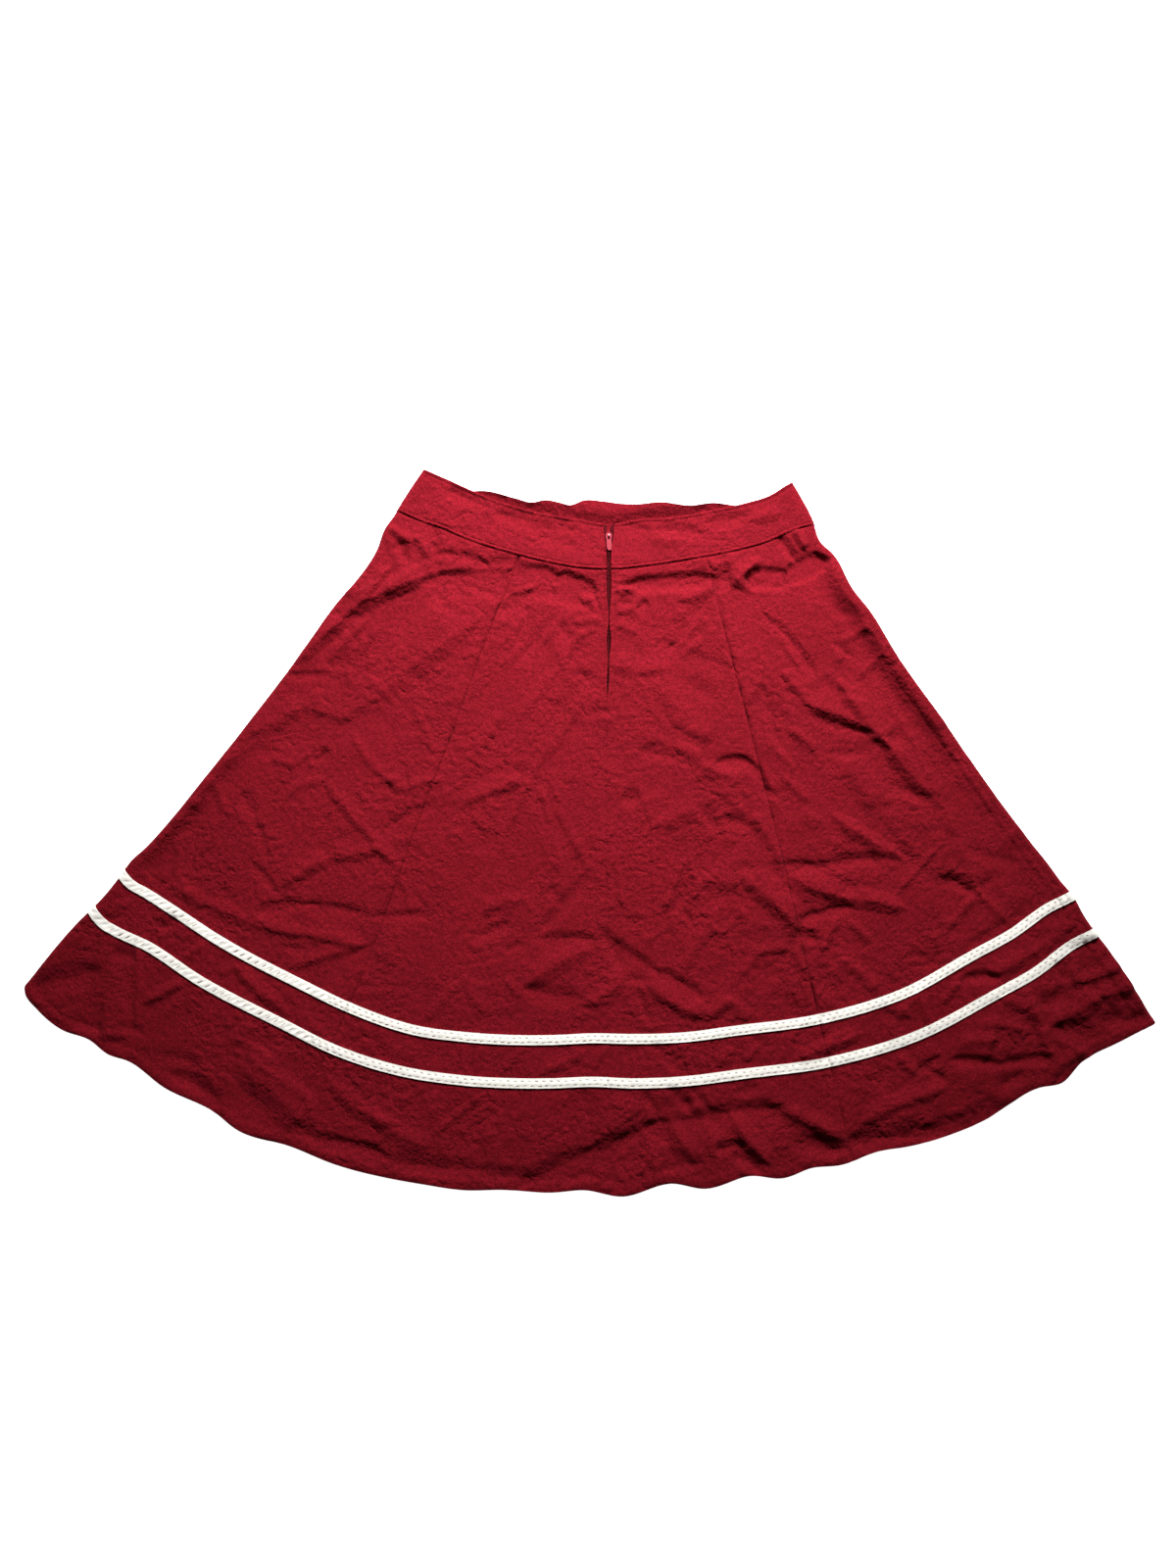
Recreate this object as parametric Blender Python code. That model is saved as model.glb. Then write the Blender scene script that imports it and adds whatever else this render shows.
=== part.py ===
"""An a-line skirt laid flat with its back up, +Z up.

Sizes are in millimetres and angles in degrees, and a mesh is put into metres as it is made. Laid flat, the skirt
is a piece of a flat cone. A point on it has an angle, from the cone's middle line and positive to the right, and a
radius, from the cone's apex beyond the waist. The back is one surface over that cone, raised by its folds, and
every piece of the back is a layer of it: a gore, the waistband, the tapes of the zip and the two trims.
"""

import bmesh
import bpy
import numpy as np

MM = 0.001

# The cloth
CLOTH = 1.2  # wall of the twill panels
BAND_EXTRA = 0.6  # the waistband is two layers, so its wall is this much thicker
SEAM_GAP = 0.3
TRIM_WIDTH = 9.4
TRIM_WALL = 0.8

# How the skirt lies
APEX = (20.83, 599.21)
LIFT = 2.1  # the back's underside over the floor where it has no puff
PUFF = 2.6
LEAST_PUFF = 0.6
SOFTNESS = 0.4  # how gently a trough meets the least puff
ROLL = 6.0  # width over which the back turns down round a side fold
BEAD = 1.4  # the side seams' turnings lift the cloth beside the folds
BEAD_IN = 8.0
BEAD_WIDTH = 7.0
FRONT_INSET = 2.6  # the front's sides, inside the turned back
FRONT_HEM_INSET = 6.0

# The zip
ZIP_LENGTH = 200.0
TAPE_WALL = 0.8
TAPE_EDGES = (2.0, 10.7)  # a tape's inner and outer edge, from the middle of the zip
CHAIN_HALF = 1.7
CHAIN_WALL = 1.0
PULL_DROP = 12.5  # the pull's hinge, below the waistband's top edge
SLIDER = {"above": 3.8, "below": 4.7, "half_width": 3.0, "half_tail": 2.3, "wall": 1.7}
ARCH = {"half_span": 1.65, "rise": 1.5, "half_wall": 0.45, "half_width": 0.8}
TAB = {"head": 0.6, "length": 16.0, "half_width": 2.6, "wall": 1.0, "lean": 0.07}
WINDOW = {"top": -0.5, "bottom": -3.9, "half_width": 1.25}

# Mesh density
GORE_COLUMNS = 11
ROLL_STEPS = (30.0, 60.0, 90.0)
MIDWAY = np.full(1, 600.0)  # radius that a grid's first guess is made at
ROWS = {"skirt": 23, "trim": 1, "between": 2, "hem": 5}
BAND_COLUMNS = 13
BAND_ROWS = 4
FRONT_COLUMNS = 18


def table(columns, *rows):
    """The table's columns by name."""
    return dict(zip(columns.split(), np.array(rows, float).T))


# The two side folds: their angles at a radius
SIDES = table(
    "radius left right",
    (300, -39.5, 37.7),
    (340, -38.6, 36.6),
    (360, -38.1, 35.9),
    (380, -37.8, 34.9),
    (400, -36.8, 35.3),
    (440, -36.3, 34.4),
    (470, -36.5, 34.5),
    (520, -36.2, 34.0),
    (620, -36.0, 33.9),
    (680, -36.0, 33.8),
    (750, -36.1, 33.9),
    (780, -36.3, 34.0),
    (800, -36.55, 34.0),
    (815, -36.5, 34.1),
    (840, -36.5, 33.9),
    (880, -36.8, 33.9),
    (960, -36.9, 33.6),
)

# The seams between the gores of the back
SEAMS = table(
    "radius left centre right",
    (290, -15.6, -0.1, 17.0),
    (345, -15.8, -0.1, 16.8),
    (415, -16.6, -0.1, 16.1),
    (540, -17.2, -0.5, 15.4),
    (650, -17.6, -0.4, 15.0),
    (780, -17.8, -0.3, 14.4),
    (960, -18.9, -0.2, 13.9),
)

# The waistband: the front's top edge, the back's top edge and the back's lower seam
BAND = table(
    "angle front_top back_top seam",
    (-39.0, 306.0, 305.0, 358.5),
    (-34.5, 301.0, 299.3, 352.5),
    (-30.0, 297.0, 296.4, 346.5),
    (-27.0, 289.5, 295.2, 345.2),
    (-20.0, 284.0, 293.4, 342.8),
    (-16.5, 283.0, 292.7, 341.8),
    (-13.5, 277.0, 292.3, 342.0),
    (-11.0, 276.8, 292.0, 342.3),
    (-8.0, 277.3, 292.2, 343.3),
    (-6.0, 271.8, 292.8, 344.0),
    (-1.2, 271.0, 295.5, 344.3),
    (2.0, 273.2, 295.3, 344.0),
    (5.6, 275.2, 292.4, 343.0),
    (11.2, 276.8, 294.8, 342.8),
    (16.8, 287.0, 297.6, 345.0),
    (21.7, 292.3, 301.0, 349.0),
    (27.4, 308.0, 307.5, 354.4),
    (31.8, 315.5, 312.6, 357.0),
    (35.5, 316.0, 313.5, 364.0),
    (37.8, 316.0, 314.8, 367.0),
)
BAND_DEPTH = 48.8

# The hem's waves
HEM = table(
    "angle radius",
    (-37.0, 953),
    (-36.3, 961.5),
    (-35.3, 965.5),
    (-33.4, 967),
    (-31.8, 960.6),
    (-30.3, 962.4),
    (-29.2, 958.4),
    (-26.5, 963.4),
    (-23.5, 963),
    (-21.5, 970),
    (-18.5, 967),
    (-16.0, 970),
    (-10.5, 968.5),
    (-8.3, 967.3),
    (-6.2, 962.5),
    (-3.5, 961.6),
    (-1.5, 957.7),
    (0.6, 963.2),
    (3.5, 953),
    (5.3, 960),
    (8.1, 953.5),
    (9.8, 960.2),
    (11.6, 956.2),
    (13.2, 959.3),
    (15.4, 956.6),
    (17.8, 961.5),
    (21.8, 963),
    (25.6, 955.8),
    (26.9, 961.5),
    (28.5, 953.8),
    (31.3, 956),
    (33.6, 960),
)

# The middles of the two trims
TRIM = table(
    "angle upper lower",
    (-36.8, 812, 857),
    (-35.3, 817, 863),
    (-34.3, 815.5, 861.8),
    (-32.0, 814.6, 856.6),
    (-28.0, 816.8, 859),
    (-21.5, 821, 862.5),
    (-18.0, 825.7, 868),
    (-13.0, 829.3, 869.8),
    (-10.0, 826.2, 867.2),
    (-4.0, 818.7, 859.8),
    (-1.2, 815.2, 856.4),
    (1.5, 816, 858),
    (5.0, 817.2, 858.6),
    (8.5, 816.8, 858.2),
    (14.0, 821.8, 863.5),
    (20.0, 823.4, 865.4),
    (26.0, 816.2, 859.3),
    (28.8, 816, 859),
    (32.0, 813, 855),
    (33.8, 815.8, 857.8),
)

# How far each lip of the zip stands from its middle, by the distance below the waistband's top edge
LIPS = table(
    "drop half_gap",
    (0, 6.0),
    (12, 4.6),
    (25, 2.7),
    (40, 1.5),
    (80, 1.4),
    (95, 0.4),
    (106, 0.35),
    (121, 1.8),
    (147, 0.35),
    (165, 0.8),
    (182, 0.2),
    (190, 0.2),
    (700, 0.2),
)

# The largest folds. Each runs from (x0, y0) to (x1, y1), left to right, bowed towards the waist by bow. It rises,
# or sinks where rise is below nothing, and fades over waist_side millimetres on one side and hem_side on the other.
FOLDS = table(
    "x0 y0 x1 y1 bow rise waist_side hem_side",
    (-290, 160, 18, 218, 62, -2.6, 16, 34),
    (-330, 96, -115, 200, -33, 3.2, 42, 14),
    (-300, 140, -252, 146, 0, -1.6, 14, 18),
    (42, 245, 150, 250, 4, -2.0, 14, 26),
    (160, 262, 262, 232, 10, -2.4, 16, 26),
    (176, 214, 240, 122, 0, -1.8, 14, 20),
    (218, 116, 288, 86, 0, 2.4, 26, 14),
    (252, 142, 352, 14, 0, 2.6, 20, 14),
    (346, 30, 392, -92, 0, 1.6, 18, 14),
    (26, 150, 160, 56, 8, 2.6, 26, 16),
    (-56, -118, 14, -121, 0, -1.8, 14, 20),
    (16, -118, 118, -176, 4, -2.0, 14, 16),
    (28, -142, 126, -202, 0, 2.4, 16, 14),
    (-66, -164, 16, -172, -6, 1.8, 18, 14),
    (150, -66, 215, -112, 8, 2.0, 20, 14),
    (-330, -236, -256, -304, 8, 3.0, 20, 18),
    (-276, -314, -170, -336, 5, -2.0, 12, 16),
    (-70, -350, 165, -279, 17, -2.8, 16, 18),
    (-20, -348, 290, -322, -10, 3.4, 26, 30),
    (155, -279, 285, -302, 6, -2.8, 14, 18),
    (275, -302, 402, -266, 6, -2.2, 16, 12),
    (-552, -166, -486, -151, 0, 2.2, 14, 22),
    (-470, -205, -468, -112, 0, 2.4, 14, 16),
)


def curve(knots, values, at):
    """The smooth curve through a table's values: cubics whose slopes are the mean slopes at the knots."""
    slopes = np.gradient(values, knots)
    piece = np.clip(np.searchsorted(knots, at) - 1, 0, len(knots) - 2)
    span = knots[piece + 1] - knots[piece]
    t = np.clip((at - knots[piece]) / span, 0, 1)
    rise = (1 - t) ** 2 * t * slopes[piece] - (1 - t) * t**2 * slopes[piece + 1]
    ease = t * t * (3 - 2 * t)
    return values[piece] + (values[piece + 1] - values[piece]) * ease + rise * span


def smooth(t):
    """0 before t = 0, 1 after t = 1 and an even turn between."""
    t = np.clip(t, 0, 1)
    return t * t * (3 - 2 * t)


def degrees_of(length, radius):
    """The angle that a length covers at a radius."""
    return np.degrees(length / radius)


def place(angle, radius):
    """x and y of points of the flat cone."""
    turn = np.radians(angle)
    return APEX[0] + radius * np.sin(turn), APEX[1] - radius * np.cos(turn)


def fold_height(fold, x, y):
    """The fold's rise at (x, y): a bell across the fold, wider on one side, that tapers at both ends."""
    x0, y0, x1, y1, bow, rise, waist_side, hem_side = fold
    length = np.hypot(x1 - x0, y1 - y0)
    along_x, along_y = (x1 - x0) / length, (y1 - y0) / length
    t = ((x - x0) * along_x + (y - y0) * along_y) / length
    across = (y - y0) * along_x - (x - x0) * along_y - bow * 4 * t * (1 - t)
    reach = np.where(across > 0, waist_side, hem_side)
    ends = smooth(t / 0.25 + 0.5) * smooth((1 - t) / 0.25 + 0.5)
    return rise * ends * np.exp(-((across / reach) ** 2))


def top(angle, radius):
    """Height of the back's outer face: the wall over its puff, its folds and the beads beside the side folds."""
    x, y = place(angle, radius)
    height = np.full(x.shape, PUFF)
    for fold in zip(*FOLDS.values()):
        height = height + fold_height(fold, x, y)
    for name, inwards in (("left", 1), ("right", -1)):
        side = curve(SIDES["radius"], SIDES[name], radius)
        inside = inwards * np.radians(angle - side) * radius
        height = height + BEAD * np.exp(-(((inside - BEAD_IN) / BEAD_WIDTH) ** 2))
    over = (height - LEAST_PUFF) / SOFTNESS
    height = LEAST_PUFF + SOFTNESS * np.logaddexp(0, over)
    return LIFT + CLOTH + height


def layer(angle, roll, radius, offset):
    """Points of the layer that lies offset outside the back's outer face. Where roll isn't 0, the cloth has turned
    down round a side fold by that angle, on an ellipse that ends upright on the floor."""
    turned = np.radians(np.abs(roll))
    out = (ROLL + offset) * np.sin(turned)
    x, y = place(angle + np.sign(roll) * degrees_of(out, radius), radius)
    z = (top(angle, radius) + offset) * np.cos(turned)
    return np.stack([x, y, z], axis=-1)


def material(name, colour, roughness, metallic=0.0):
    made = bpy.data.materials.new(name)
    made.use_nodes = True
    shader = made.node_tree.nodes["Principled BSDF"]
    shader.inputs["Base Color"].default_value = (*colour, 1.0)
    shader.inputs["Roughness"].default_value = roughness
    shader.inputs["Metallic"].default_value = metallic
    made.diffuse_color = (*colour, 1.0)
    return made


def add_mesh(name, points, faces, finish):
    """A new object with its points in metres and its faces turned outwards."""
    mesh = bpy.data.meshes.new(name)
    mesh.from_pydata((np.asarray(points) * MM).tolist(), [], faces)
    shape = bmesh.new()
    shape.from_mesh(mesh)
    bmesh.ops.recalc_face_normals(shape, faces=shape.faces)
    shape.to_mesh(mesh)
    shape.free()
    mesh.shade_smooth()
    mesh.set_sharp_from_angle(angle=np.radians(40))
    mesh.materials.append(finish)
    made = bpy.data.objects.new(name, mesh)
    bpy.context.scene.collection.objects.link(made)
    return made


def shell(name, lower, upper, finish):
    """The closed wall between two grids of points, each square of which is two triangles split the same way."""
    rows, columns = lower.shape[:2]
    number = np.arange(rows * columns).reshape(rows, columns)
    a, b = number[:-1, :-1].ravel(), number[:-1, 1:].ravel()
    c, d = number[1:, 1:].ravel(), number[1:, :-1].ravel()
    under = np.concatenate([np.stack([a, b, c], 1), np.stack([a, c, d], 1)])
    over = under[:, ::-1] + rows * columns
    rim = np.concatenate([number[0], number[1:, -1], number[-1, -2::-1], number[-2:0:-1, 0]])
    ahead = np.roll(rim, -1)
    first = np.stack([rim, rim + rows * columns, ahead], 1)
    second = np.stack([ahead, rim + rows * columns, ahead + rows * columns], 1)
    faces = np.concatenate([under, over, first, second]).tolist()
    points = np.concatenate([lower.reshape(-1, 3), upper.reshape(-1, 3)])
    return add_mesh(name, points, faces, finish)


def steps(start, end, count):
    """count even steps from start, which is included, to end, which isn't."""
    return [start + (end - start) * i / count for i in range(count)]


def gore_radius(angle):
    """Radii of a gore's rows at each angle, from the waistband's seam to the hem, with a row on each trim's edges."""
    seam = curve(BAND["angle"], BAND["seam"], angle) + SEAM_GAP / 2
    upper, lower = (curve(TRIM["angle"], TRIM[name], angle) - TRIM_WIDTH / 2 for name in ("upper", "lower"))
    hem = curve(HEM["angle"], HEM["radius"], angle)
    rows = steps(seam, upper, ROWS["skirt"])
    rows += steps(upper, upper + TRIM_WIDTH, ROWS["trim"])
    rows += steps(upper + TRIM_WIDTH, lower, ROWS["between"])
    rows += steps(lower, lower + TRIM_WIDTH, ROWS["trim"])
    rows += steps(lower + TRIM_WIDTH, hem, ROWS["hem"]) + [hem]
    return np.array(rows)


def band_radius(angle):
    """Radii of the back waistband's rows at each angle."""
    edge = curve(BAND["angle"], BAND["back_top"], angle)
    seam = curve(BAND["angle"], BAND["seam"], angle) - SEAM_GAP / 2
    return np.array(steps(edge, seam, BAND_ROWS) + [seam])


def centre_edge(radius, side):
    """Angle of one lip of the zip, and of the seam below it. side is -1 on the left and 1 on the right."""
    drop = radius - curve(BAND["angle"], BAND["back_top"], np.zeros_like(radius))
    half = curve(LIPS["drop"], LIPS["half_gap"], np.maximum(drop, 0))
    return curve(SEAMS["radius"], SEAMS["centre"], radius) + side * degrees_of(half, radius)


def seam_edge(radius, name, side):
    """Angle of a gore's edge at one of the two outer seams."""
    return curve(SEAMS["radius"], SEAMS[name], radius) + side * degrees_of(SEAM_GAP / 2, radius)


def roll_edge(radius, side):
    """Angle at which the cloth starts to turn down round a side fold."""
    name = "left" if side < 0 else "right"
    return curve(SIDES["radius"], SIDES[name], radius) - side * degrees_of(ROLL, radius)


def own_rows(radius):
    """The radii, with row i taken from the i-th grid where each row had angles of its own."""
    if radius.ndim == 2:
        return radius
    return radius[np.arange(len(radius)), np.arange(len(radius))]


def grid(inner, outer, side, radius_of, columns, beside_zip=False):
    """Angle, roll and radius of a piece's points, from its inner edge to its outer one. A piece with a side ends in
    the turned cloth of that side fold. beside_zip puts the second column over the zip tape's outer edge."""
    shares = np.linspace(0, 1, columns + 1)
    angle = inner(MIDWAY) * (1 - shares) + outer(MIDWAY) * shares
    for _ in range(3):
        radius = own_rows(radius_of(angle))
        first, last = inner(radius), outer(radius)
        angle = first * (1 - shares) + last * shares
        if beside_zip:
            middle = curve(SEAMS["radius"], SEAMS["centre"], radius)
            tape = middle + np.sign(last - first) * degrees_of(TAPE_EDGES[1], radius)
            later = (shares - shares[1]) / (1 - shares[1])
            angle = np.where(shares < shares[1] / 2, first, tape * (1 - later) + last * later)
    roll = np.zeros_like(angle)
    for turned in ROLL_STEPS if side else ():
        out = degrees_of(ROLL * np.sin(np.radians(turned)), radius[:, -1:])
        beyond = own_rows(radius_of(outer(radius[:, -1:]) + side * out))
        angle = np.concatenate([angle, outer(beyond)], axis=1)
        roll = np.concatenate([roll, np.full_like(beyond, side * turned)], axis=1)
        radius = np.concatenate([radius, beyond], axis=1)
    return angle, roll, radius


def back_pieces():
    """Angle, roll and radius of each piece of the back that is cut from cloth, by name."""
    gore = {"radius_of": gore_radius, "columns": GORE_COLUMNS}
    band = {"radius_of": band_radius, "columns": BAND_COLUMNS, "beside_zip": True}
    pieces = {}
    for name, side in (("left", -1), ("right", 1)):
        centre = lambda radius, side=side: centre_edge(radius, side)
        near = lambda radius, name=name, side=side: seam_edge(radius, name, -side)
        far = lambda radius, name=name, side=side: seam_edge(radius, name, side)
        fold = lambda radius, side=side: roll_edge(radius, side)
        pieces[f"back_centre_gore_{name}"] = grid(centre, near, 0, beside_zip=True, **gore)
        pieces[f"back_side_gore_{name}"] = grid(far, fold, side, **gore)
        pieces[f"waistband_back_{name}"] = grid(centre, fold, side, **band)
    return pieces


def make_back(pieces, twill):
    for name, (angle, roll, radius) in pieces.items():
        outside = BAND_EXTRA if name.startswith("waistband") else 0.0
        shell(name, layer(angle, roll, radius, -CLOTH), layer(angle, roll, radius, outside), twill)


def make_trims(pieces, tape):
    """The two trims lie on the gores' own points, moved out, in one strip from side fold to side fold."""
    first = ROWS["skirt"]
    rows = {"trim_upper": first, "trim_lower": first + ROWS["trim"] + ROWS["between"]}
    order = [("side", "left", -1), ("centre", "left", -1), ("centre", "right", 1), ("side", "right", 1)]
    for name, row in rows.items():
        parts = [pieces[f"back_{kind}_gore_{side}"] for kind, side, _ in order]
        strips = []
        for field in range(3):
            cut = [part[field][row : row + 2, ::turn] for part, (_, _, turn) in zip(parts, order)]
            strips.append(np.concatenate(cut, axis=1))
        angle, roll, radius = (strip[:, 1:-1] for strip in strips)
        lower = layer(angle, roll, radius, SEAM_GAP)
        shell(name, lower, layer(angle, roll, radius, SEAM_GAP + TRIM_WALL), tape)


def make_front(twill):
    """The hidden front: a plain panel and its waistband, flat on the floor inside the turned sides."""
    shares = np.linspace(0, 1, FRONT_COLUMNS + 1)

    def plate(name, rows_of, wall):
        angle = SIDES["left"][0] * (1 - shares) + SIDES["right"][0] * shares
        for _ in range(3):
            radius = own_rows(rows_of(angle))
            inset = degrees_of(FRONT_INSET, radius[:, :1])
            left = curve(SIDES["radius"], SIDES["left"], radius[:, :1]) + inset
            right = curve(SIDES["radius"], SIDES["right"], radius[:, -1:]) - inset
            angle = left * (1 - shares) + right * shares
        x, y = place(angle, radius)
        lower = np.stack([x, y, np.zeros_like(x)], axis=-1)
        shell(name, lower, lower + [0, 0, wall], twill)

    def panel_radius(angle):
        rows = gore_radius(angle)
        seam = curve(BAND["angle"], BAND["front_top"], angle) + BAND_DEPTH + SEAM_GAP / 2
        hem = rows[-1] - FRONT_HEM_INSET
        share = (rows - rows[0]) / (rows[-1] - rows[0])
        return seam + (hem - seam) * share

    def waistband_radius(angle):
        edge = curve(BAND["angle"], BAND["front_top"], angle)
        return np.array([edge + (BAND_DEPTH - SEAM_GAP / 2) * share for share in (0, 0.34, 0.67, 1)])

    plate("front_panel", panel_radius, CLOTH)
    plate("waistband_front", waistband_radius, CLOTH + BAND_EXTRA)


def zip_rows(radius_to):
    """Radii and middle angles of the zip's rows, on the rows of the waistband and of the gores under it."""
    middle = np.zeros(1)
    rows = np.concatenate([band_radius(middle), gore_radius(middle)])
    end = band_radius(middle)[0, 0] + radius_to
    rows = np.append(rows[rows < end - 2], end)[:, None]
    return rows, curve(SEAMS["radius"], SEAMS["centre"], rows)


def make_zip(tape, chain, metal):
    """Two tapes under the lips, the closed chain between them, the slider and its pull."""
    rows, middle = zip_rows(ZIP_LENGTH + 6)
    edges = np.array(TAPE_EDGES)
    under = -CLOTH - SEAM_GAP
    for name, side in (("left", -1), ("right", 1)):
        angle = middle + side * degrees_of(edges[None, :], rows)
        radius = np.repeat(rows, 2, axis=1)
        flat = np.zeros_like(angle)
        lower = layer(angle, flat, radius, under - TAPE_WALL)
        shell(f"zip_tape_{name}", lower, layer(angle, flat, radius, under), tape)

    rows, middle = zip_rows(ZIP_LENGTH)
    start = rows[0, 0] + PULL_DROP + SLIDER["below"]
    rows = np.concatenate([[[start]], rows[rows[:, 0] > start + 1]])
    middle = curve(SEAMS["radius"], SEAMS["centre"], rows)
    angle = middle + degrees_of(np.array([[-CHAIN_HALF, CHAIN_HALF]]), rows)
    radius = np.repeat(rows, 2, axis=1)
    flat = np.zeros_like(angle)
    lower = layer(angle, flat, radius, under - CHAIN_WALL)
    shell("zip_chain", lower, layer(angle, flat, radius, under), chain)

    hinge_radius = band_radius(np.zeros(1))[0, 0] + PULL_DROP
    hinge_angle = curve(SEAMS["radius"], SEAMS["centre"], hinge_radius)
    x, y = place(hinge_angle, hinge_radius)
    slider_low = float(top(np.array([hinge_angle]), np.array([hinge_radius]))[0]) - CLOTH
    make_slider((x, y, slider_low), metal)
    axis_height = slider_low + SLIDER["wall"] + 1.1
    make_pull((x, y, axis_height), metal)


def loop_solid(name, loop, low, high, finish):
    """A closed plate: a loop of (x, y) points, from low to high."""
    count = len(loop)
    points = [(x, y, low) for x, y in loop] + [(x, y, high) for x, y in loop]
    sides = [(i, (i + 1) % count, (i + 1) % count + count, i + count) for i in range(count)]
    caps = [tuple(range(count))[::-1], tuple(range(count, 2 * count))]
    return add_mesh(name, points, sides + caps, finish)


def make_slider(seat, metal):
    """The slider's body, broad at its mouth and narrower at its tail, with the arch that carries the pull."""
    x, y, z = seat
    wide, tail = SLIDER["half_width"], SLIDER["half_tail"]
    above, below = SLIDER["above"], SLIDER["below"]
    outline = [(-tail, -below), (tail, -below), (wide, -0.2 * below), (wide, 0.6 * above)]
    outline += [(0.6 * wide, above), (-0.6 * wide, above), (-wide, 0.6 * above), (-wide, -0.2 * below)]
    loop = [(x + dx, y + dy) for dx, dy in outline]
    body = loop_solid("zip_slider", loop, z, z + SLIDER["wall"], metal)

    turn = np.radians(np.linspace(-40, 220, 14))[:, None]
    out = np.array([[1, -1, -1, 1]]) * ARCH["half_wall"]
    side = np.array([[1, 1, -1, -1]]) * ARCH["half_width"] + 0 * turn
    span, rise = ARCH["half_span"] + out, ARCH["rise"] + out
    base = z + SLIDER["wall"] + 1.1
    ring = np.stack([x + side, y + span * np.cos(turn), base + rise * np.sin(turn)], axis=-1)
    count = len(ring)
    faces = [
        (4 * i + j, 4 * i + (j + 1) % 4, 4 * i + 4 + (j + 1) % 4, 4 * i + 4 + j)
        for i in range(count - 1)
        for j in range(4)
    ]
    faces += [(3, 2, 1, 0), tuple(4 * (count - 1) + j for j in range(4))]
    arch = add_mesh("zip_arch_shape", ring.reshape(-1, 3), faces, metal)
    arch.hide_render = True
    arch.display_type = "WIRE"
    join = body.modifiers.new("arch", "BOOLEAN")
    join.operation = "UNION"
    join.object = arch


def make_pull(axis, metal):
    """The pull's tab, flat along the zip, with the window that the slider's arch goes through. Its object's origin
    is on its hinge, in the middle of the bar above the window."""
    turn = np.linspace(0, 2 * np.pi, 33)[:-1]
    round_x = np.sign(np.cos(turn)) * np.abs(np.cos(turn)) ** 0.5
    round_y = np.sign(np.sin(turn)) * np.abs(np.sin(turn)) ** 0.5
    middle = TAB["head"] - TAB["length"] / 2
    outer_y = middle + round_y * TAB["length"] / 2
    narrow = 1 - 0.22 * smooth((outer_y - middle) / (TAB["length"] / 2))
    outer_x = round_x * TAB["half_width"] * narrow - TAB["lean"] * np.minimum(outer_y + 4, 0)
    window_middle = (WINDOW["top"] + WINDOW["bottom"]) / 2
    inner_x = round_x * WINDOW["half_width"]
    inner_y = window_middle + round_y * (WINDOW["top"] - WINDOW["bottom"]) / 2
    half = TAB["wall"] / 2
    rings = [(outer_x, outer_y, -half), (inner_x, inner_y, -half), (inner_x, inner_y, half), (outer_x, outer_y, half)]
    points = np.concatenate([np.stack([px, py, 0 * px + pz], 1) for px, py, pz in rings])
    count = len(turn)
    faces = [
        (ring * count + i, ring * count + j, (ring + 1) % 4 * count + j, (ring + 1) % 4 * count + i)
        for ring in range(4)
        for i, j in zip(range(count), [*range(1, count), 0])
    ]
    tab = add_mesh("zip_pull", points, faces, metal)
    tab.location = np.array(axis) * MM


def main():
    for thing in list(bpy.data.objects):
        bpy.data.objects.remove(thing, do_unlink=True)
    twill = material("red_twill", (0.24, 0.008, 0.018), 0.85)
    pieces = back_pieces()
    make_back(pieces, twill)
    make_front(twill)
    make_trims(pieces, material("cream_tape", (0.83, 0.83, 0.77), 0.8))
    make_zip(
        material("zip_tape", (0.2, 0.007, 0.015), 0.8),
        material("zip_coil", (0.16, 0.006, 0.012), 0.5),
        material("zip_enamel", (0.45, 0.05, 0.06), 0.3, 0.4),
    )


main()
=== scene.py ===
"""An a-line skirt laid flat with its back up: cloth, creases, trims, zip, stitching and stage.

Sizes in the tables are in millimetres and angles in degrees. A point of the flat skirt has an angle, from the
middle line of a flat cone and positive to the right, and a radius, from the cone's apex beyond the waist.
"""

from functools import partial

import bpy
import numpy as np
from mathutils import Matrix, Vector


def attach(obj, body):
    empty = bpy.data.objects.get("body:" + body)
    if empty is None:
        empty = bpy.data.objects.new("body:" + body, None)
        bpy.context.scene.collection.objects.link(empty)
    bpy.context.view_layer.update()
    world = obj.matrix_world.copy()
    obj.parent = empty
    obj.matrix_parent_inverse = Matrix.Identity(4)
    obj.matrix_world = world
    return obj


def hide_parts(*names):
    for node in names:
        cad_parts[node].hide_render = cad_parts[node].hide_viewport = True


bl_info = {
    "name": "A-line skirt laid flat",
    "version": (1, 0, 0),
    "blender": (4, 5, 0),
    "location": "3D View > Sidebar > Skirt",
    "description": "Makes the cloth, trims, zip and stitching of an a-line skirt laid flat, and its stage",
    "category": "Object",
}

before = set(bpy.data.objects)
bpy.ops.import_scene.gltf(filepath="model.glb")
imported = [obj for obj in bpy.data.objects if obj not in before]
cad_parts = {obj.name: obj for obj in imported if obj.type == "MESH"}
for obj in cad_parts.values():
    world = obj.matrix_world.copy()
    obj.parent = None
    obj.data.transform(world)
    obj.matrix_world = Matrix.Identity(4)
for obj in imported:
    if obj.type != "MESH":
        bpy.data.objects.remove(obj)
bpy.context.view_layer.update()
MM = 0.001
SHARP = np.radians(55)  # two faces that meet at more than this have a sharp edge

# How the skirt lies, in millimetres
APEX = (20.83, 599.21)
LIFT = 2.1
PUFF = 4.6
LEAST_PUFF = 0.5
MOST_PUFF = 12.0
SOFTNESS = 0.35  # how softly the puff comes to its least and its most
ROLL = 6.0
FRONT_INSET = 2.6
FRONT_HEM_INSET = 6.0
FRONT_STANDS = 5.5  # how far the front's top edge stands up behind the back's
FRONT_WALLS = {"front_panel": 0.9, "waistband_front": 1.5}
BAND_DEPTH = 48.8
BAND_EXTRA = 0.6
SEAM_GAP = 0.3
CLOSED_FROM = 840.0  # radius where the gap at a gore's seam starts to close towards the hem

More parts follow.
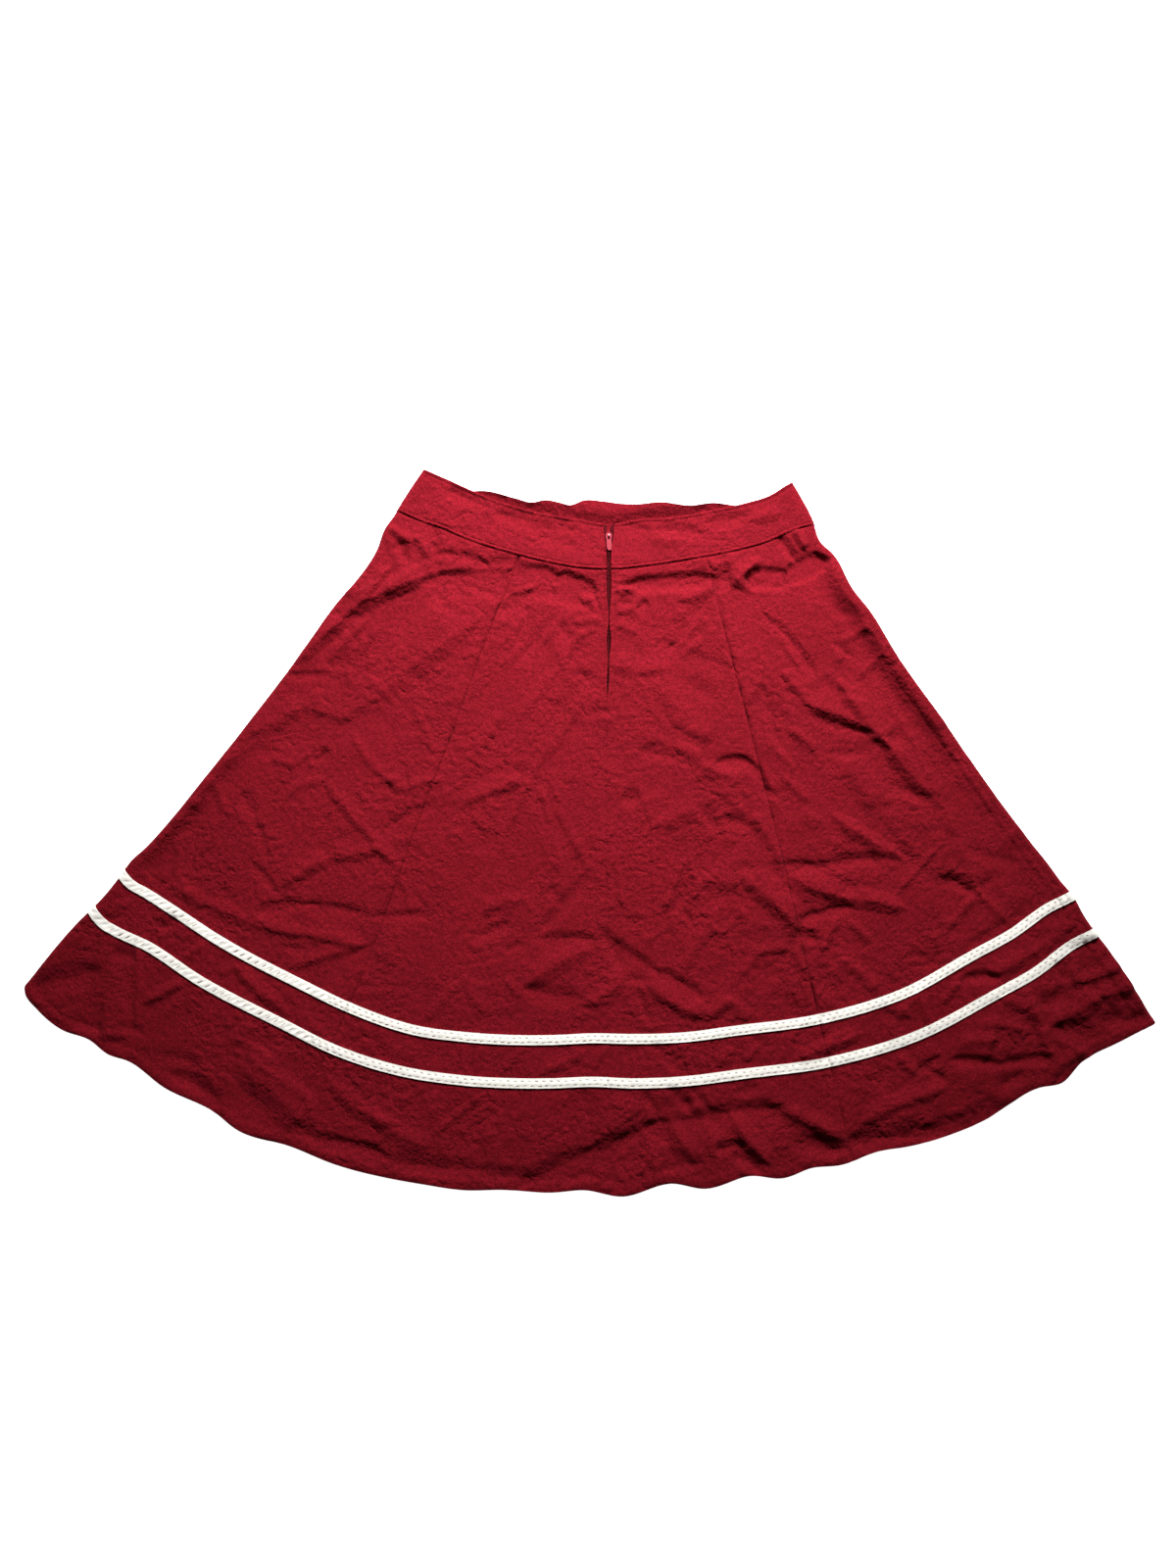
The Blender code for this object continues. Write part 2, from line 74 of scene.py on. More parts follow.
# The side folds' beads
BEAD = 1.5
BEAD_IN = 8.0
LEFT_BEAD = 4.0  # how much higher the left bead is at its middle
HIP_BEAD = 6.5  # and the right one over the hip
HIP_HOLLOW = 1.8

# The creases
MARKED_FROM = (-1.67, -0.39)  # the creases were measured from a point this far off the middle of the skirt
CREASE_DEPTH = 1.6  # the rise of every crease is multiplied by this, and by its place's depth in depth_at
REACH = 1.5  # and its reach by this
FINE_CREASES = 300
FINE_SEED = 21
FLAT_UNDER_TRIM = 0.75  # share of a crease's depth that the trims press out, over TRIM_HOLDS millimetres
TRIM_HOLDS = 8.0
WAVES = ((0.8, 95, 1), (0.3, 31, 2))  # depth, size and seed
CRUMPLES = (  # depth, what a busy place adds, size, seed, size of the patches that have it, and their seed
    (0.1, 0.28, 34, 3, 80, 9),
    (0.06, 0.16, 17, 4, 60, 10),
)

# The trims and the stitches
TRIM_WIDTH = 9.4
TRIM_ROWS_FROM = -19.5  # angle where a trim's single row of large stitches becomes two rows of small ones
SMALL_DENTS = 4.6  # distance between dents
LARGE_DENTS = 7.2
DENT_ROWS = 2.8  # the small dents' rows are this far from the trim's middle
TRIMS = (("upper", 11), ("lower", 12))  # name and seed
HEM_STITCHES = 10.5  # from the hem's edge
BAND_STITCHES = 2.6  # from the waistband's top edge
LIP_STITCHES = 4.2  # from the zip's lip
SUNK = 0.15  # how deep a stitch lies in the cloth

# The zip
ZIP_LENGTH = 200.0
PULL_DROP = 12.5
COIL_DEPTH = 3.3  # below the back's outer face
COIL_WIDTH = 3.2

FLOOR_HALF = 4000.0  # the floor reaches this far to each side
BOTH_SIDES = (("left", -1), ("right", 1))

# How finely each piece's grid is cut, from waist to hem and across
ROWS = {"gore": 294, "band": 58, "front_panel": 90, "waistband_front": 16, "trim": 12}
COLUMNS = {"centre_gore": 135, "side_gore": 145, "band": 140, "front": 170, "trim": 420}


def table(columns, *rows):
    """The table's columns by name."""
    return dict(zip(columns.split(), np.array(rows, float).T))


SIDES = table(
    "radius left right",
    (300, -39.5, 37.7),
    (340, -38.6, 36.6),
    (360, -38.1, 35.9),
    (380, -37.8, 34.9),
    (400, -36.8, 35.3),
    (440, -36.3, 34.4),
    (470, -36.5, 34.5),
    (520, -36.2, 34.0),
    (620, -36.0, 33.9),
    (680, -36.0, 33.8),
    (750, -36.1, 33.9),
    (780, -36.3, 34.0),
    (800, -36.55, 34.0),
    (815, -36.5, 34.1),
    (840, -36.5, 33.9),
    (880, -36.8, 33.9),
    (960, -36.9, 33.6),
)

SEAMS = table(
    "radius left centre right",
    (290, -15.6, -0.1, 17.0),
    (345, -15.8, -0.1, 16.8),
    (415, -16.6, -0.1, 16.1),
    (540, -17.2, -0.5, 15.4),
    (650, -17.6, -0.4, 15.0),
    (780, -17.8, -0.3, 14.4),
    (960, -18.9, -0.2, 13.9),
)

BAND = table(
    "angle front_top back_top seam",
    (-39.0, 306.0, 305.0, 358.5),
    (-34.5, 301.0, 299.3, 352.5),
    (-30.0, 297.0, 296.4, 346.5),
    (-27.0, 289.5, 295.2, 345.2),
    (-20.0, 284.0, 293.4, 342.8),
    (-16.5, 283.0, 292.7, 341.8),
    (-13.5, 277.0, 292.3, 342.0),
    (-11.0, 276.8, 292.0, 342.3),
    (-8.0, 277.3, 292.2, 343.3),
    (-6.0, 271.8, 292.8, 344.0),
    (-1.2, 271.0, 295.5, 344.3),
    (2.0, 273.2, 295.3, 344.0),
    (5.6, 275.2, 292.4, 343.0),
    (11.2, 276.8, 294.8, 342.8),
    (16.8, 287.0, 297.6, 345.0),
    (21.7, 292.3, 301.0, 349.0),
    (27.4, 308.0, 307.5, 354.4),
    (31.8, 315.5, 312.6, 357.0),
    (35.5, 316.0, 313.5, 364.0),
    (37.8, 316.0, 314.8, 367.0),
)

HEM = table(
    "angle radius",
    (-37.0, 953),
    (-36.3, 961.5),
    (-35.3, 965.5),
    (-33.4, 967),
    (-31.8, 960.6),
    (-30.3, 962.4),
    (-29.2, 958.4),
    (-26.5, 963.4),
    (-23.5, 963),
    (-21.5, 970),
    (-18.5, 967),
    (-16.0, 970),
    (-10.5, 968.5),
    (-8.3, 967.3),
    (-6.2, 962.5),
    (-3.5, 961.6),
    (-1.5, 957.7),
    (0.6, 963.2),
    (3.5, 953),
    (5.3, 960),
    (8.1, 953.5),
    (9.8, 960.2),
    (11.6, 956.2),
    (13.2, 959.3),
    (15.4, 956.6),
    (17.8, 961.5),
    (21.8, 963),
    (25.6, 955.8),
    (26.9, 961.5),
    (28.5, 953.8),
    (31.3, 956),
    (33.6, 960),
)

TRIM = table(
    "angle upper lower",
    (-36.8, 812, 857),
    (-35.3, 817, 863),
    (-34.3, 815.5, 861.8),
    (-32.0, 814.6, 856.6),
    (-28.0, 816.8, 859),
    (-21.5, 821, 862.5),
    (-18.0, 825.7, 868),
    (-13.0, 829.3, 869.8),
    (-10.0, 826.2, 867.2),
    (-4.0, 818.7, 859.8),
    (-1.2, 815.2, 856.4),
    (1.5, 816, 858),
    (5.0, 817.2, 858.6),
    (8.5, 816.8, 858.2),
    (14.0, 821.8, 863.5),
    (20.0, 823.4, 865.4),
    (26.0, 816.2, 859.3),
    (28.8, 816, 859),
    (32.0, 813, 855),
    (33.8, 815.8, 857.8),
)

LIPS = table(
    "drop half_gap",
    (0, 6.0),
    (12, 4.8),
    (25, 3.0),
    (40, 2.2),
    (60, 2.5),
    (80, 1.9),
    (95, 0.6),
    (104, 0.5),
    (121, 2.2),
    (147, 0.7),
    (165, 1.3),
    (182, 0.2),
    (190, 0.03),
    (200, 0.03),
    (210, 0.02),
    (700, 0.01),
)

# Bumps beside a line of the back: how far the middle of each is from the line, its width and its rise
BUMPS = "middle width rise"
SEAM_BUMPS = table(BUMPS, (5.0, 4.0, 0.4), (0.0, 1.6, -1.2))
CENTRE_SEAM_BUMPS = table(BUMPS, (5.0, 4.0, 0.4), (0.0, 1.5, -0.6))
BAND_SEAM_BUMPS = table(BUMPS, (-1.8, 1.0, 0.5), (0.0, 1.0, -0.6), (-3.6, 0.7, -0.5))
BAND_EDGE_BUMPS = table(BUMPS, (1.2, 1.1, 0.6), (4.0, 1.0, -0.25))
HEM_BUMPS = table(BUMPS, (HEM_STITCHES, 1.3, -0.5), (0.0, 1.6, -0.7))
RIGHT_TURNING_BUMPS = table(BUMPS, (10.0, 1.6, -0.7), (18.0, 1.6, -0.7))

# Every crease runs from (x0, y0) to (x1, y1), left to right, bowed towards the waist by bow. It stands up by rise,
# or sinks where rise is below nothing, and fades over waist millimetres on one side and hem on the other.
WAIST_CREASES = table(
    "x0 y0 x1 y1 bow rise waist hem",
    (-250, 206, -165, 247, 4, 2.4, 10, 7),
    (-296, 156, -244, 206, 2, 2.2, 8, 6),
    (-266, 158, -222, 204, 0, 1.5, 6, 4),
    (-232, 218, -202, 258, 0, 1.6, 8, 4),
    (-205, 228, -170, 258, 2, 1.4, 7, 4),
    (-168, 246, -60, 250, 2, -2.4, 5, 20),
    (-84, 250, -28, 248, 3, -2.6, 7, 12),
    (-34, 249, 10, 232, 1, -3.2, 7, 10),
    (-92, 205, -56, 232, 3, -1.7, 6, 7),
    (-60, 232, -4, 218, 5, -2.3, 7, 8),
    (-25, 232, 2, 214, 0, -1.1, 4, 4),
    (-6, 243, 12, 208, 0, 1.0, 3, 4),
    (2, 236, 15, 204, 0, -1.0, 3, 3),
    (-155, 273, -133, 272, 0, -1.2, 4, 4),
    (-135, 272, -100, 260, 2, -1.2, 4, 6),
    (-160, 286, -155, 250, 0, -1.0, 4, 4),
    (-178, 292, -160, 268, 0, 1.2, 6, 5),
    (-196, 286, -184, 262, 0, -1.2, 6, 5),
    (-205, 300, -180, 284, 0, 1.2, 5, 4),
    (-120, 258, -62, 262, 3, -0.9, 6, 6),
    (-244, 100, -112, 202, 0, 2.2, 28, 9),
    (-340, 84, -285, 113, -1, 2.4, 16, 7),
    (-286, 113, -262, 104, 0, 2.0, 16, 5),
    (-264, 105, -236, 100, 0, 1.8, 18, 5),
    (-306, 145, -258, 146, 0, -1.5, 3, 5),
    (-262, 151, -240, 163, 0, -1.0, 5, 5),
    (-247, 122, -206, 217, 2, 0.8, 4, 4),
    (-160, 234, -142, 212, 0, -0.9, 8, 9),
    (-185, 135, -150, 60, 0, 0.9, 5, 5),
    (-72, 158, -33, 205, 0, -1.2, 5, 5),
    (-45, 178, -28, 196, 0, 0.9, 7, 4),
    (-30, 200, -16, 180, 0, -1.0, 5, 6),
    (-70, 97, -28, 152, 1, 1.2, 7, 4),
    (-28, 152, -4, 192, 0, 1.0, 5, 4),
    (-10, 150, 8, 128, 0, -1.2, 8, 8),
    (-45, 128, -28, 116, 0, 1.1, 8, 5),
    (-112, 64, -84, 106, 0, 1.5, 9, 4),
    (-38, 60, 2, 130, 1, 1.3, 6, 4),
    (-158, -195, -105, -70, 6, 0.9, 4, 4),
    (-105, -70, -50, 48, 1, 0.9, 4, 4),
    (28, 232, 50, 234, 0, 1.2, 4, 3),
    (30, 222, 46, 219, 0, -1.0, 3, 3),
    (29, 210, 48, 214, 0, 1.1, 4, 3),
    (28, 198, 52, 188, 0, 1.1, 5, 4),
    (-16, 200, 14, 202, 0, 1.0, 4, 4),
    (-12, 182, 10, 197, 0, 0.9, 4, 4),
    (50, 212, 62, 222, 0, -1.0, 4, 4),
    (70, 178, 90, 172, 2, -0.9, 4, 4),
    (92, 162, 118, 182, 0, 1.0, 5, 4),
    (100, 178, 122, 196, 0, -0.8, 5, 5),
    (24, 154, 56, 146, 2, 1.9, 12, 6),
    (52, 147, 84, 150, 2, 1.7, 10, 5),
    (62, 142, 102, 98, 2, 1.4, 12, 9),
    (84, 99, 124, 77, 1, 1.9, 14, 5),
    (100, 140, 128, 118, 0, -1.1, 9, 7),
    (36, 240, 132, 247, 0, -2.7, 6, 9),
    (148, 236, 178, 266, 2, 1.3, 8, 7),
    (160, 246, 210, 243, 2, -3.3, 9, 9),
    (204, 244, 248, 266, 1, -3.3, 10, 7),
    (196, 292, 214, 264, 0, -1.4, 5, 5),
    (212, 298, 224, 276, 0, 1.3, 5, 4),
    (128, 232, 150, 262, 0, -1.5, 8, 8),
    (180, 208, 232, 142, 3, -1.8, 5, 6),
    (184, 208, 214, 152, 0, 1.0, 8, 3),
    (196, 150, 226, 112, 0, 1.5, 8, 4),
    (221, 113, 284, 87, 3, 2.8, 16, 5),
    (222, 104, 284, 86, -3, -1.0, 4, 6),
    (254, 136, 300, 72, -1, 3.2, 14, 6),
    (298, 76, 352, 12, -2, 3.0, 14, 7),
    (300, 34, 352, 17, -2, -1.5, 6, 6),
    (308, 112, 345, 28, 2, 0.9, 3, 3),
    (354, 96, 380, 57, 0, -1.8, 5, 5),
    (355, 12, 388, -78, -2, 1.3, 6, 6),
    (366, 52, 402, 6, 4, 1.4, 7, 10),
    (172, 142, 196, 62, 0, -1.3, 5, 5),
    (184, 152, 216, 70, 0, 0.9, 5, 6),
    (160, 116, 176, 140, 0, 1.2, 5, 5),
    (250, 178, 268, 164, 0, -1.1, 4, 4),
    (258, 178, 296, 197, 2, 1.1, 5, 4),
    (272, 140, 300, 170, 0, 0.9, 4, 4),
    (304, 150, 318, 162, 0, -1.3, 5, 5),
    (240, 150, 262, 128, 0, 1.0, 5, 5),
    (6, 96, 31, 97, 1, 1.0, 8, 4),
    (5, 106, 32, 106, 1, -1.3, 4, 4),
    (-148, 342, -103, 322, 0, -1.6, 6, 7),
    (-98, 316, -50, 306, 0, -1.6, 6, 9),
    (-60, 300, -10, 297, 0, -1.5, 8, 9),
    (-48, 290, -12, 280, 0, -1.2, 6, 7),
    (38, 302, 66, 297, 0, -1.1, 4, 8),
    (72, 299, 118, 293, 2, -1.5, 6, 8),
    (64, 288, 98, 286, 0, 1.0, 6, 6),
    (120, 305, 165, 313, 0, -1.3, 5, 8),
    (168, 308, 200, 316, 0, 1.2, 8, 5),
)

MIDDLE_CREASES = table(
    "x0 y0 x1 y1 bow rise waist hem",
    (-366, 50, -322, 84, 0, 1.4, 6, 6),
    (-372, 36, -357, 0, 0, 1.4, 4, 4),
    (-382, -37, -362, 5, 0, 1.1, 4, 4),
    (-345, 26, -332, 0, 0, -2.0, 7, 6),
    (-333, 0, -318, -44, 2, -1.2, 4, 4),
    (-333, -43, -302, -79, 0, -1.6, 3, 4),
    (-318, 60, -292, 52, 0, 1.9, 6, 4),
    (-292, 53, -276, 68, 0, 1.2, 4, 4),
    (-277, 56, -258, 67, 0, -1.6, 6, 6),
    (-312, 0, -247, 100, 0, 0.9, 3, 3),
    (-300, 20, -262, 39, 4, 1.4, 6, 5),
    (-265, 39, -187, -50, -2, 1.8, 7, 4),
    (-237, 86, -185, 28, -6, 1.4, 5, 4),
    (-200, 42, -182, 27, 0, 1.4, 6, 5),
    (-184, 27, -140, 36, 4, 1.7, 6, 4),
    (-201, -12, -152, 14, 2, -1.6, 4, 6),
    (-300, -68, -254, -40, 2, 2.6, 10, 6),
    (-256, -40, -206, -32, -1, 2.2, 9, 5),
    (-328, -94, -280, -85, 2, -2.1, 4, 8),
    (-282, -86, -215, -97, 2, -2.0, 4, 8),
    (-215, -98, -150, -95, 0, -1.4, 3, 6),
    (-335, -102, -275, -116, -2, 2.2, 8, 4),
    (-277, -115, -217, -126, -1, 2.4, 10, 4),
    (-292, -148, -217, -126, 1, 2.0, 7, 4),
    (-300, -127, -274, -132, 0, -1.4, 3, 3),
    (-410, -64, -372, -88, -3, 2.0, 8, 5),
    (-374, -86, -336, -104, 1, 1.9, 8, 5),
    (-407, -57, -405, -15, 0, 1.1, 4, 4),
    (-126, 10, -60, 36, 5, 2.2, 10, 5),
    (-115, 2, -95, -15, 0, 1.1, 5, 4),
    (-140, -20, -132, -14, 0, 1.0, 4, 3),
    (-132, -14, -124, -22, 0, 1.0, 4, 3),
    (-47, 32, -40, 12, 0, 1.0, 4, 4),
    (-80, -15, -28, 88, 4, 1.1, 3, 3),
    (-37, 15, 1, -51, 2, 1.3, 5, 4),
    (-46, 26, -25, -64, 2, 1.2, 4, 4),
    (-50, -114, -1, -56, -4, -2.0, 6, 6),
    (-38, -68, -24, -88, 0, -1.6, 6, 5),
    (-105, -95, -66, -82, 3, 1.6, 7, 5),
    (-105, -118, -75, -104, 0, -1.8, 5, 5),
    (-78, -96, -64, -75, 0, 1.0, 4, 3),
    (-64, -75, -54, -95, 0, 1.0, 4, 3),
    (-80, -131, -64, -124, 0, -1.3, 3, 4),
    (-50, -119, 9, -121, 1, -2.4, 5, 14),
    (-62, -166, 8, -126, 3, 2.6, 10, 8),
    (-62, -167, -8, -177, -2, -2.2, 7, 9),
    (-82, -158, -65, -177, 0, 1.2, 5, 4),
    (-4, -184, 38, -156, -3, 2.2, 8, 6),
    (13, -110, 33, -150, 2, -2.4, 6, 6),
    (24, -120, 70, -152, -2, -2.5, 5, 15),
    (68, -150, 112, -178, 2, -2.4, 5, 14),
    (58, -164, 118, -198, -3, 2.8, 14, 5),
    (34, -157, 63, -162, 0, -1.8, 4, 4),
    (48, -166, 64, -206, -2, -1.7, 5, 3),
    (116, -198, 141, -177, 0, 1.9, 8, 4),
    (139, -177, 157, -200, 0, 1.6, 6, 5),
    (72, -98, 100, -35, 0, 1.3, 3, 3),
    (100, -35, 112, -82, 0, 1.3, 3, 3),
    (83, -96, 95, -76, 0, -1.5, 4, 3),
    (95, -91, 104, -106, 0, -1.5, 3, 3),
    (118, -100, 130, -117, 0, 1.1, 3, 3),
    (130, -117, 141, -107, 0, 1.1, 3, 3),
    (11, -72, 28, -34, 0, 1.2, 3, 3),
    (27, -30, 35, -92, 0, 1.2, 3, 3),
    (64, 22, 66, -100, 0, 1.2, 2, 2),
    (82, 55, 79, -92, 0, 0.9, 2, 2),
    (34, 20, 51, 17, 0, -2.4, 8, 6),
    (50, 67, 90, 60, 0, -2.1, 9, 6),
    (82, 73, 114, 54, 2, 1.4, 8, 5),
    (114, 52, 154, 35, 2, 1.9, 6, 8),
    (127, 54, 167, 54, 5, -2.8, 4, 9),
    (164, 55, 179, 19, 3, -2.4, 4, 6),
    (175, 30, 191, 18, 0, -1.6, 4, 4),
    (52, 34, 64, -7, 0, 0.9, 3, 3),
    (66, -11, 116, 9, 2, 1.6, 14, 8),
    (108, 12, 131, -14, 0, -1.9, 8, 5),
    (134, -2, 162, -11, 2, -1.8, 7, 6),
    (163, 6, 193, -47, 2, 1.8, 6, 5),
    (192, -46, 241, -48, 0, -2.2, 4, 10),
    (238, -46, 294, -42, 2, -2.2, 6, 8),
    (243, 3, 312, -40, -2, 2.4, 6, 6),
    (112, -62, 152, -66, 0, 2.0, 12, 8),
    (150, -56, 208, -113, 3, 3.5, 14, 7),
    (204, -60, 252, -80, -2, 2.7, 12, 6),
    (250, -80, 312, -90, 2, 2.7, 8, 7),
    (206, -104, 263, -88, 3, -2.0, 4, 6),
    (202, -112, 227, -122, 0, -2.1, 6, 6),
    (159, -133, 199, -130, 0, 1.6, 6, 3),
    (150, -156, 167, -134, 0, 1.3, 5, 4),
    (228, -136, 246, -98, 0, 1.6, 4, 4),
    (221, -148, 223, -182, 0, 1.2, 3, 3),
    (200, -128, 213, -151, 0, 1.4, 5, 4),
    (256, -102, 279, -124, 0, 1.4, 4, 4),
    (244, -136, 287, -174, 2, 1.4, 5, 5),
    (200, 88, 229, 64, 4, 1.4, 5, 4),
    (194, 42, 223, 15, 0, 1.4, 5, 5),
    (252, 58, 287, 8, 3, 1.6, 14, 10),
    (305, -75, 350, -27, 0, 1.2, 4, 3),
    (348, -60, 386, -79, 3, -2.6, 6, 6),
    (350, -113, 387, -73, 0, 1.3, 4, 4),
    (368, -60, 421, -113, 2, 1.3, 4, 4),
    (308, -138, 350, -135, 0, -1.5, 3, 3),
    (312, -147, 346, -143, 0, -1.1, 3, 3),
    (-156, -198, -126, -162, 0, 1.4, 5, 4),
    (-118, -166, -99, -193, 0, 1.3, 5, 4),
)

HEM_CREASES = table(
    "x0 y0 x1 y1 bow rise waist hem",
    (-420, -112, -403, -98, 0, -2.1, 6, 5),
    (-476, -98, -449, -82, 0, 1.6, 8, 5),
    (-395, -141, -374, -122, 0, 1.5, 4, 4),
    (-345, -145, -292, -192, -2, 2.3, 7, 5),
    (-362, -152, -340, -148, 0, 1.2, 5, 4),
    (-80, -246, -62, -222, 0, 1.1, 4, 4),
    (-46, -250, -1, -228, 0, 1.6, 8, 5),
    (2, -246, 20, -222, 0, 1.2, 4, 4),
    (62, -218, 88, -248, 0, -1.5, 7, 5),
    (92, -215, 98, -248, 0, 1.2, 3, 3),
    (127, -242, 143, -225, 0, 1.4, 6, 4),
    (150, -236, 170, -222, 0, 1.2, 5, 4),
    (198, -238, 266, -211, 0, 2.0, 8, 6),
    (365, -160, 403, -158, 2, -2.4, 5, 5),
    (345, -184, 362, -158, 0, 1.3, 4, 4),
    (394, -154, 447, -126, -2, 2.0, 9, 6),
    (450, -132, 480, -100, 2, 1.4, 8, 6),
    (-549, -168, -477, -150, 0, -2.7, 10, 12),
    (-498, -204, -470, -208, 0, -1.9, 28, 4),
    (-474, -214, -444, -212, 0, 1.9, 46, 4),
    (-482, -150, -470, -100, 0, 1.6, 5, 9),
    (-466, -135, -443, -139, 2, -2.1, 7, 6),
    (-440, -122, -438, -206, 0, 1.2, 3, 3),
    (-434, -183, -391, -160, 0, 2.3, 6, 4),
    (-412, -196, -392, -172, 0, 1.0, 4, 4),
    (-388, -186, -376, -166, 0, 1.0, 4, 4),
    (-459, -205, -430, -212, 2, -1.5, 5, 5),
    (-420, -232, -370, -244, 3, -1.2, 5, 5),
    (-403, -249, -352, -282, 5, -2.3, 8, 8),
    (-352, -296, -296, -310, -3, 2.0, 20, 4),
    (-337, -238, -267, -303, 4, 3.5, 16, 13),
    (-350, -213, -298, -241, 2, 1.6, 4, 4),
    (-346, -226, -300, -252, 3, 1.6, 5, 5),
    (-304, -250, -262, -275, 0, 1.3, 5, 5),
    (-282, -298, -260, -307, 0, -2.2, 8, 6),
    (-251, -252, -184, -297, -8, 2.3, 8, 6),
    (-270, -268, -262, -300, 0, 1.0, 3, 3),
    (-269, -309, -188, -328, 3, -3.0, 5, 8),
    (-190, -329, -100, -338, -3, -2.1, 8, 8),
    (-106, -340, -50, -350, 0, -1.8, 8, 8),
    (-205, -287, -150, -317, -4, 2.0, 8, 8),
    (-150, -309, -98, -266, 0, 1.3, 4, 3),
    (-185, -268, -198, -284, 0, 1.1, 4, 4),
    (-6, -262, 8, -321, 0, -1.8, 8, 5),
    (3, -318, 54, -281, 2, 1.6, 20, 3),
    (-68, -357, 12, -321, 2, -3.4, 8, 16),
    (-8, -330, 75, -294, 0, -3.6, 7, 16),
    (56, -299, 134, -287, 0, -2.8, 7, 15),
    (112, -290, 186, -281, 2, -2.4, 7, 16),
    (170, -281, 228, -313, 2, -2.1, 7, 15),
    (212, -311, 276, -314, 0, -1.7, 7, 12),
    (-24, -352, 12, -346, 4, -1.4, 8, 4),
    (14, -352, 56, -330, 3, -1.1, 10, 6),
    (49, -298, 66, -342, 2, 1.6, 5, 5),
    (68, -292, 83, -331, 0, -1.9, 4, 5),
    (80, -292, 107, -335, -2, 2.2, 7, 5),
    (72, -339, 111, -333, 2, -1.8, 10, 5),
    (114, -292, 122, -330, 0, 1.1, 4, 4),
    (121, -322, 153, -317, 2, -2.6, 5, 5),
    (137, -325, 167, -342, 2, -3.0, 9, 5),
    (138, -286, 177, -335, -3, 2.8, 9, 6),
    (54, -267, 70, -292, 0, -1.9, 4, 4),
    (76, -262, 100, -286, 3, -1.6, 6, 5),
    (66, -284, 104, -278, 0, -1.9, 9, 6),
    (99, -262, 119, -287, 0, -1.7, 5, 4),
    (140, -268, 165, -262, 0, -1.2, 5, 5),
    (188, -284, 252, -314, 0, 2.8, 9, 9),
    (196, -318, 244, -322, 0, -1.8, 10, 6),
    (252, -313, 340, -304, -2, -3.0, 11, 9),
    (322, -308, 408, -277, -4, -3.0, 11, 8),
    (262, -296, 346, -263, 3, 2.0, 9, 5),
    (300, -233, 318, -250, 0, 1.6, 5, 4),
    (318, -247, 343, -234, 0, -1.8, 4, 4),
    (328, -243, 347, -257, 0, -1.8, 4, 4),
    (350, -236, 402, -241, 2, -2.4, 4, 6),
    (398, -241, 452, -236, 3, -2.2, 5, 6),
    (396, -262, 424, -248, 0, -1.6, 6, 5),
    (360, -222, 400, -218, 3, 1.2, 6, 5),
    (380, -200, 430, -212, 3, 1.2, 5, 5),
    (400, -175, 442, -200, 3, 1.8, 6, 5),
    (424, -168, 434, -186, 0, 1.8, 5, 5),
    (432, -178, 454, -240, -3, 2.0, 6, 5),
    (446, -252, 484, -226, 2, 2.2, 10, 4),
    (451, -201, 500, -172, -3, 2.6, 9, 9),
    (496, -176, 532, -166, 0, 2.4, 10, 7),
    (440, -184, 470, -168, -3, -2.2, 7, 6),
    (466, -131, 508, -121, 2, -2.4, 4, 6),
    (468, -163, 521, -147, -2, 1.9, 6, 4),
    (454, -205, 492, -217, 4, -2.2, 10, 8),
    (500, -200, 548, -196, 0, -2.2, 10, 6),
    (508, -140, 530, -172, 0, 1.6, 5, 8),
)

# The hidden front's own creases, which stand off the floor
FRONT_CREASES = table(
    "x0 y0 x1 y1 bow rise waist hem",
    (-250, 180, -60, 215, 22, 0.9, 14, 9),
    (60, 150, 240, 60, 14, 0.9, 16, 10),
    (-330, 20, -180, -70, -16, 0.8, 12, 9),
    (-120, 60, 70, 20, 12, 0.7, 14, 12),
    (160, -60, 330, -150, 10, 0.9, 14, 9),
    (-60, -150, 130, -120, -14, 0.8, 12, 10),
    (-420, -190, -260, -280, 12, 0.9, 14, 10),
    (-160, -300, 60, -330, 10, 0.8, 12, 12),
    (200, -280, 400, -240, -12, 0.9, 12, 10),
    (120, 230, 200, 160, 6, 0.7, 9, 9),
    (-20, 120, 40, -40, 8, 0.6, 9, 9),
)


def curve(knots, values, at):
    """The smooth curve through a table's values: cubics whose slopes are the mean slopes at the knots."""
    slopes = np.gradient(values, knots)
    piece = np.clip(np.searchsorted(knots, at) - 1, 0, len(knots) - 2)
    span = knots[piece + 1] - knots[piece]
    t = np.clip((at - knots[piece]) / span, 0, 1)
    rise = (1 - t) ** 2 * t * slopes[piece] - (1 - t) * t**2 * slopes[piece + 1]
    ease = t * t * (3 - 2 * t)
    return values[piece] + (values[piece + 1] - values[piece]) * ease + rise * span


def read(rows, name, at):
    """A table's column at the given places of its first column, along the smooth curve."""
    return curve(next(iter(rows.values())), rows[name], at)


def smooth(t):
    """0 before t = 0, 1 after t = 1 and an even turn between."""
    t = np.clip(t, 0, 1)
    return t * t * (3 - 2 * t)


def bump(distance, width):
    """1 at no distance, falling to 1/e at the width."""
    return np.exp(-((distance / width) ** 2))


def degrees_of(length, radius):
    """The angle that a length covers at a radius."""
    return np.degrees(length / radius)


def place(angle, radius):
    """x and y of points of the flat cone."""
    turn = np.radians(angle)
    return APEX[0] + radius * np.sin(turn), APEX[1] - radius * np.cos(turn)


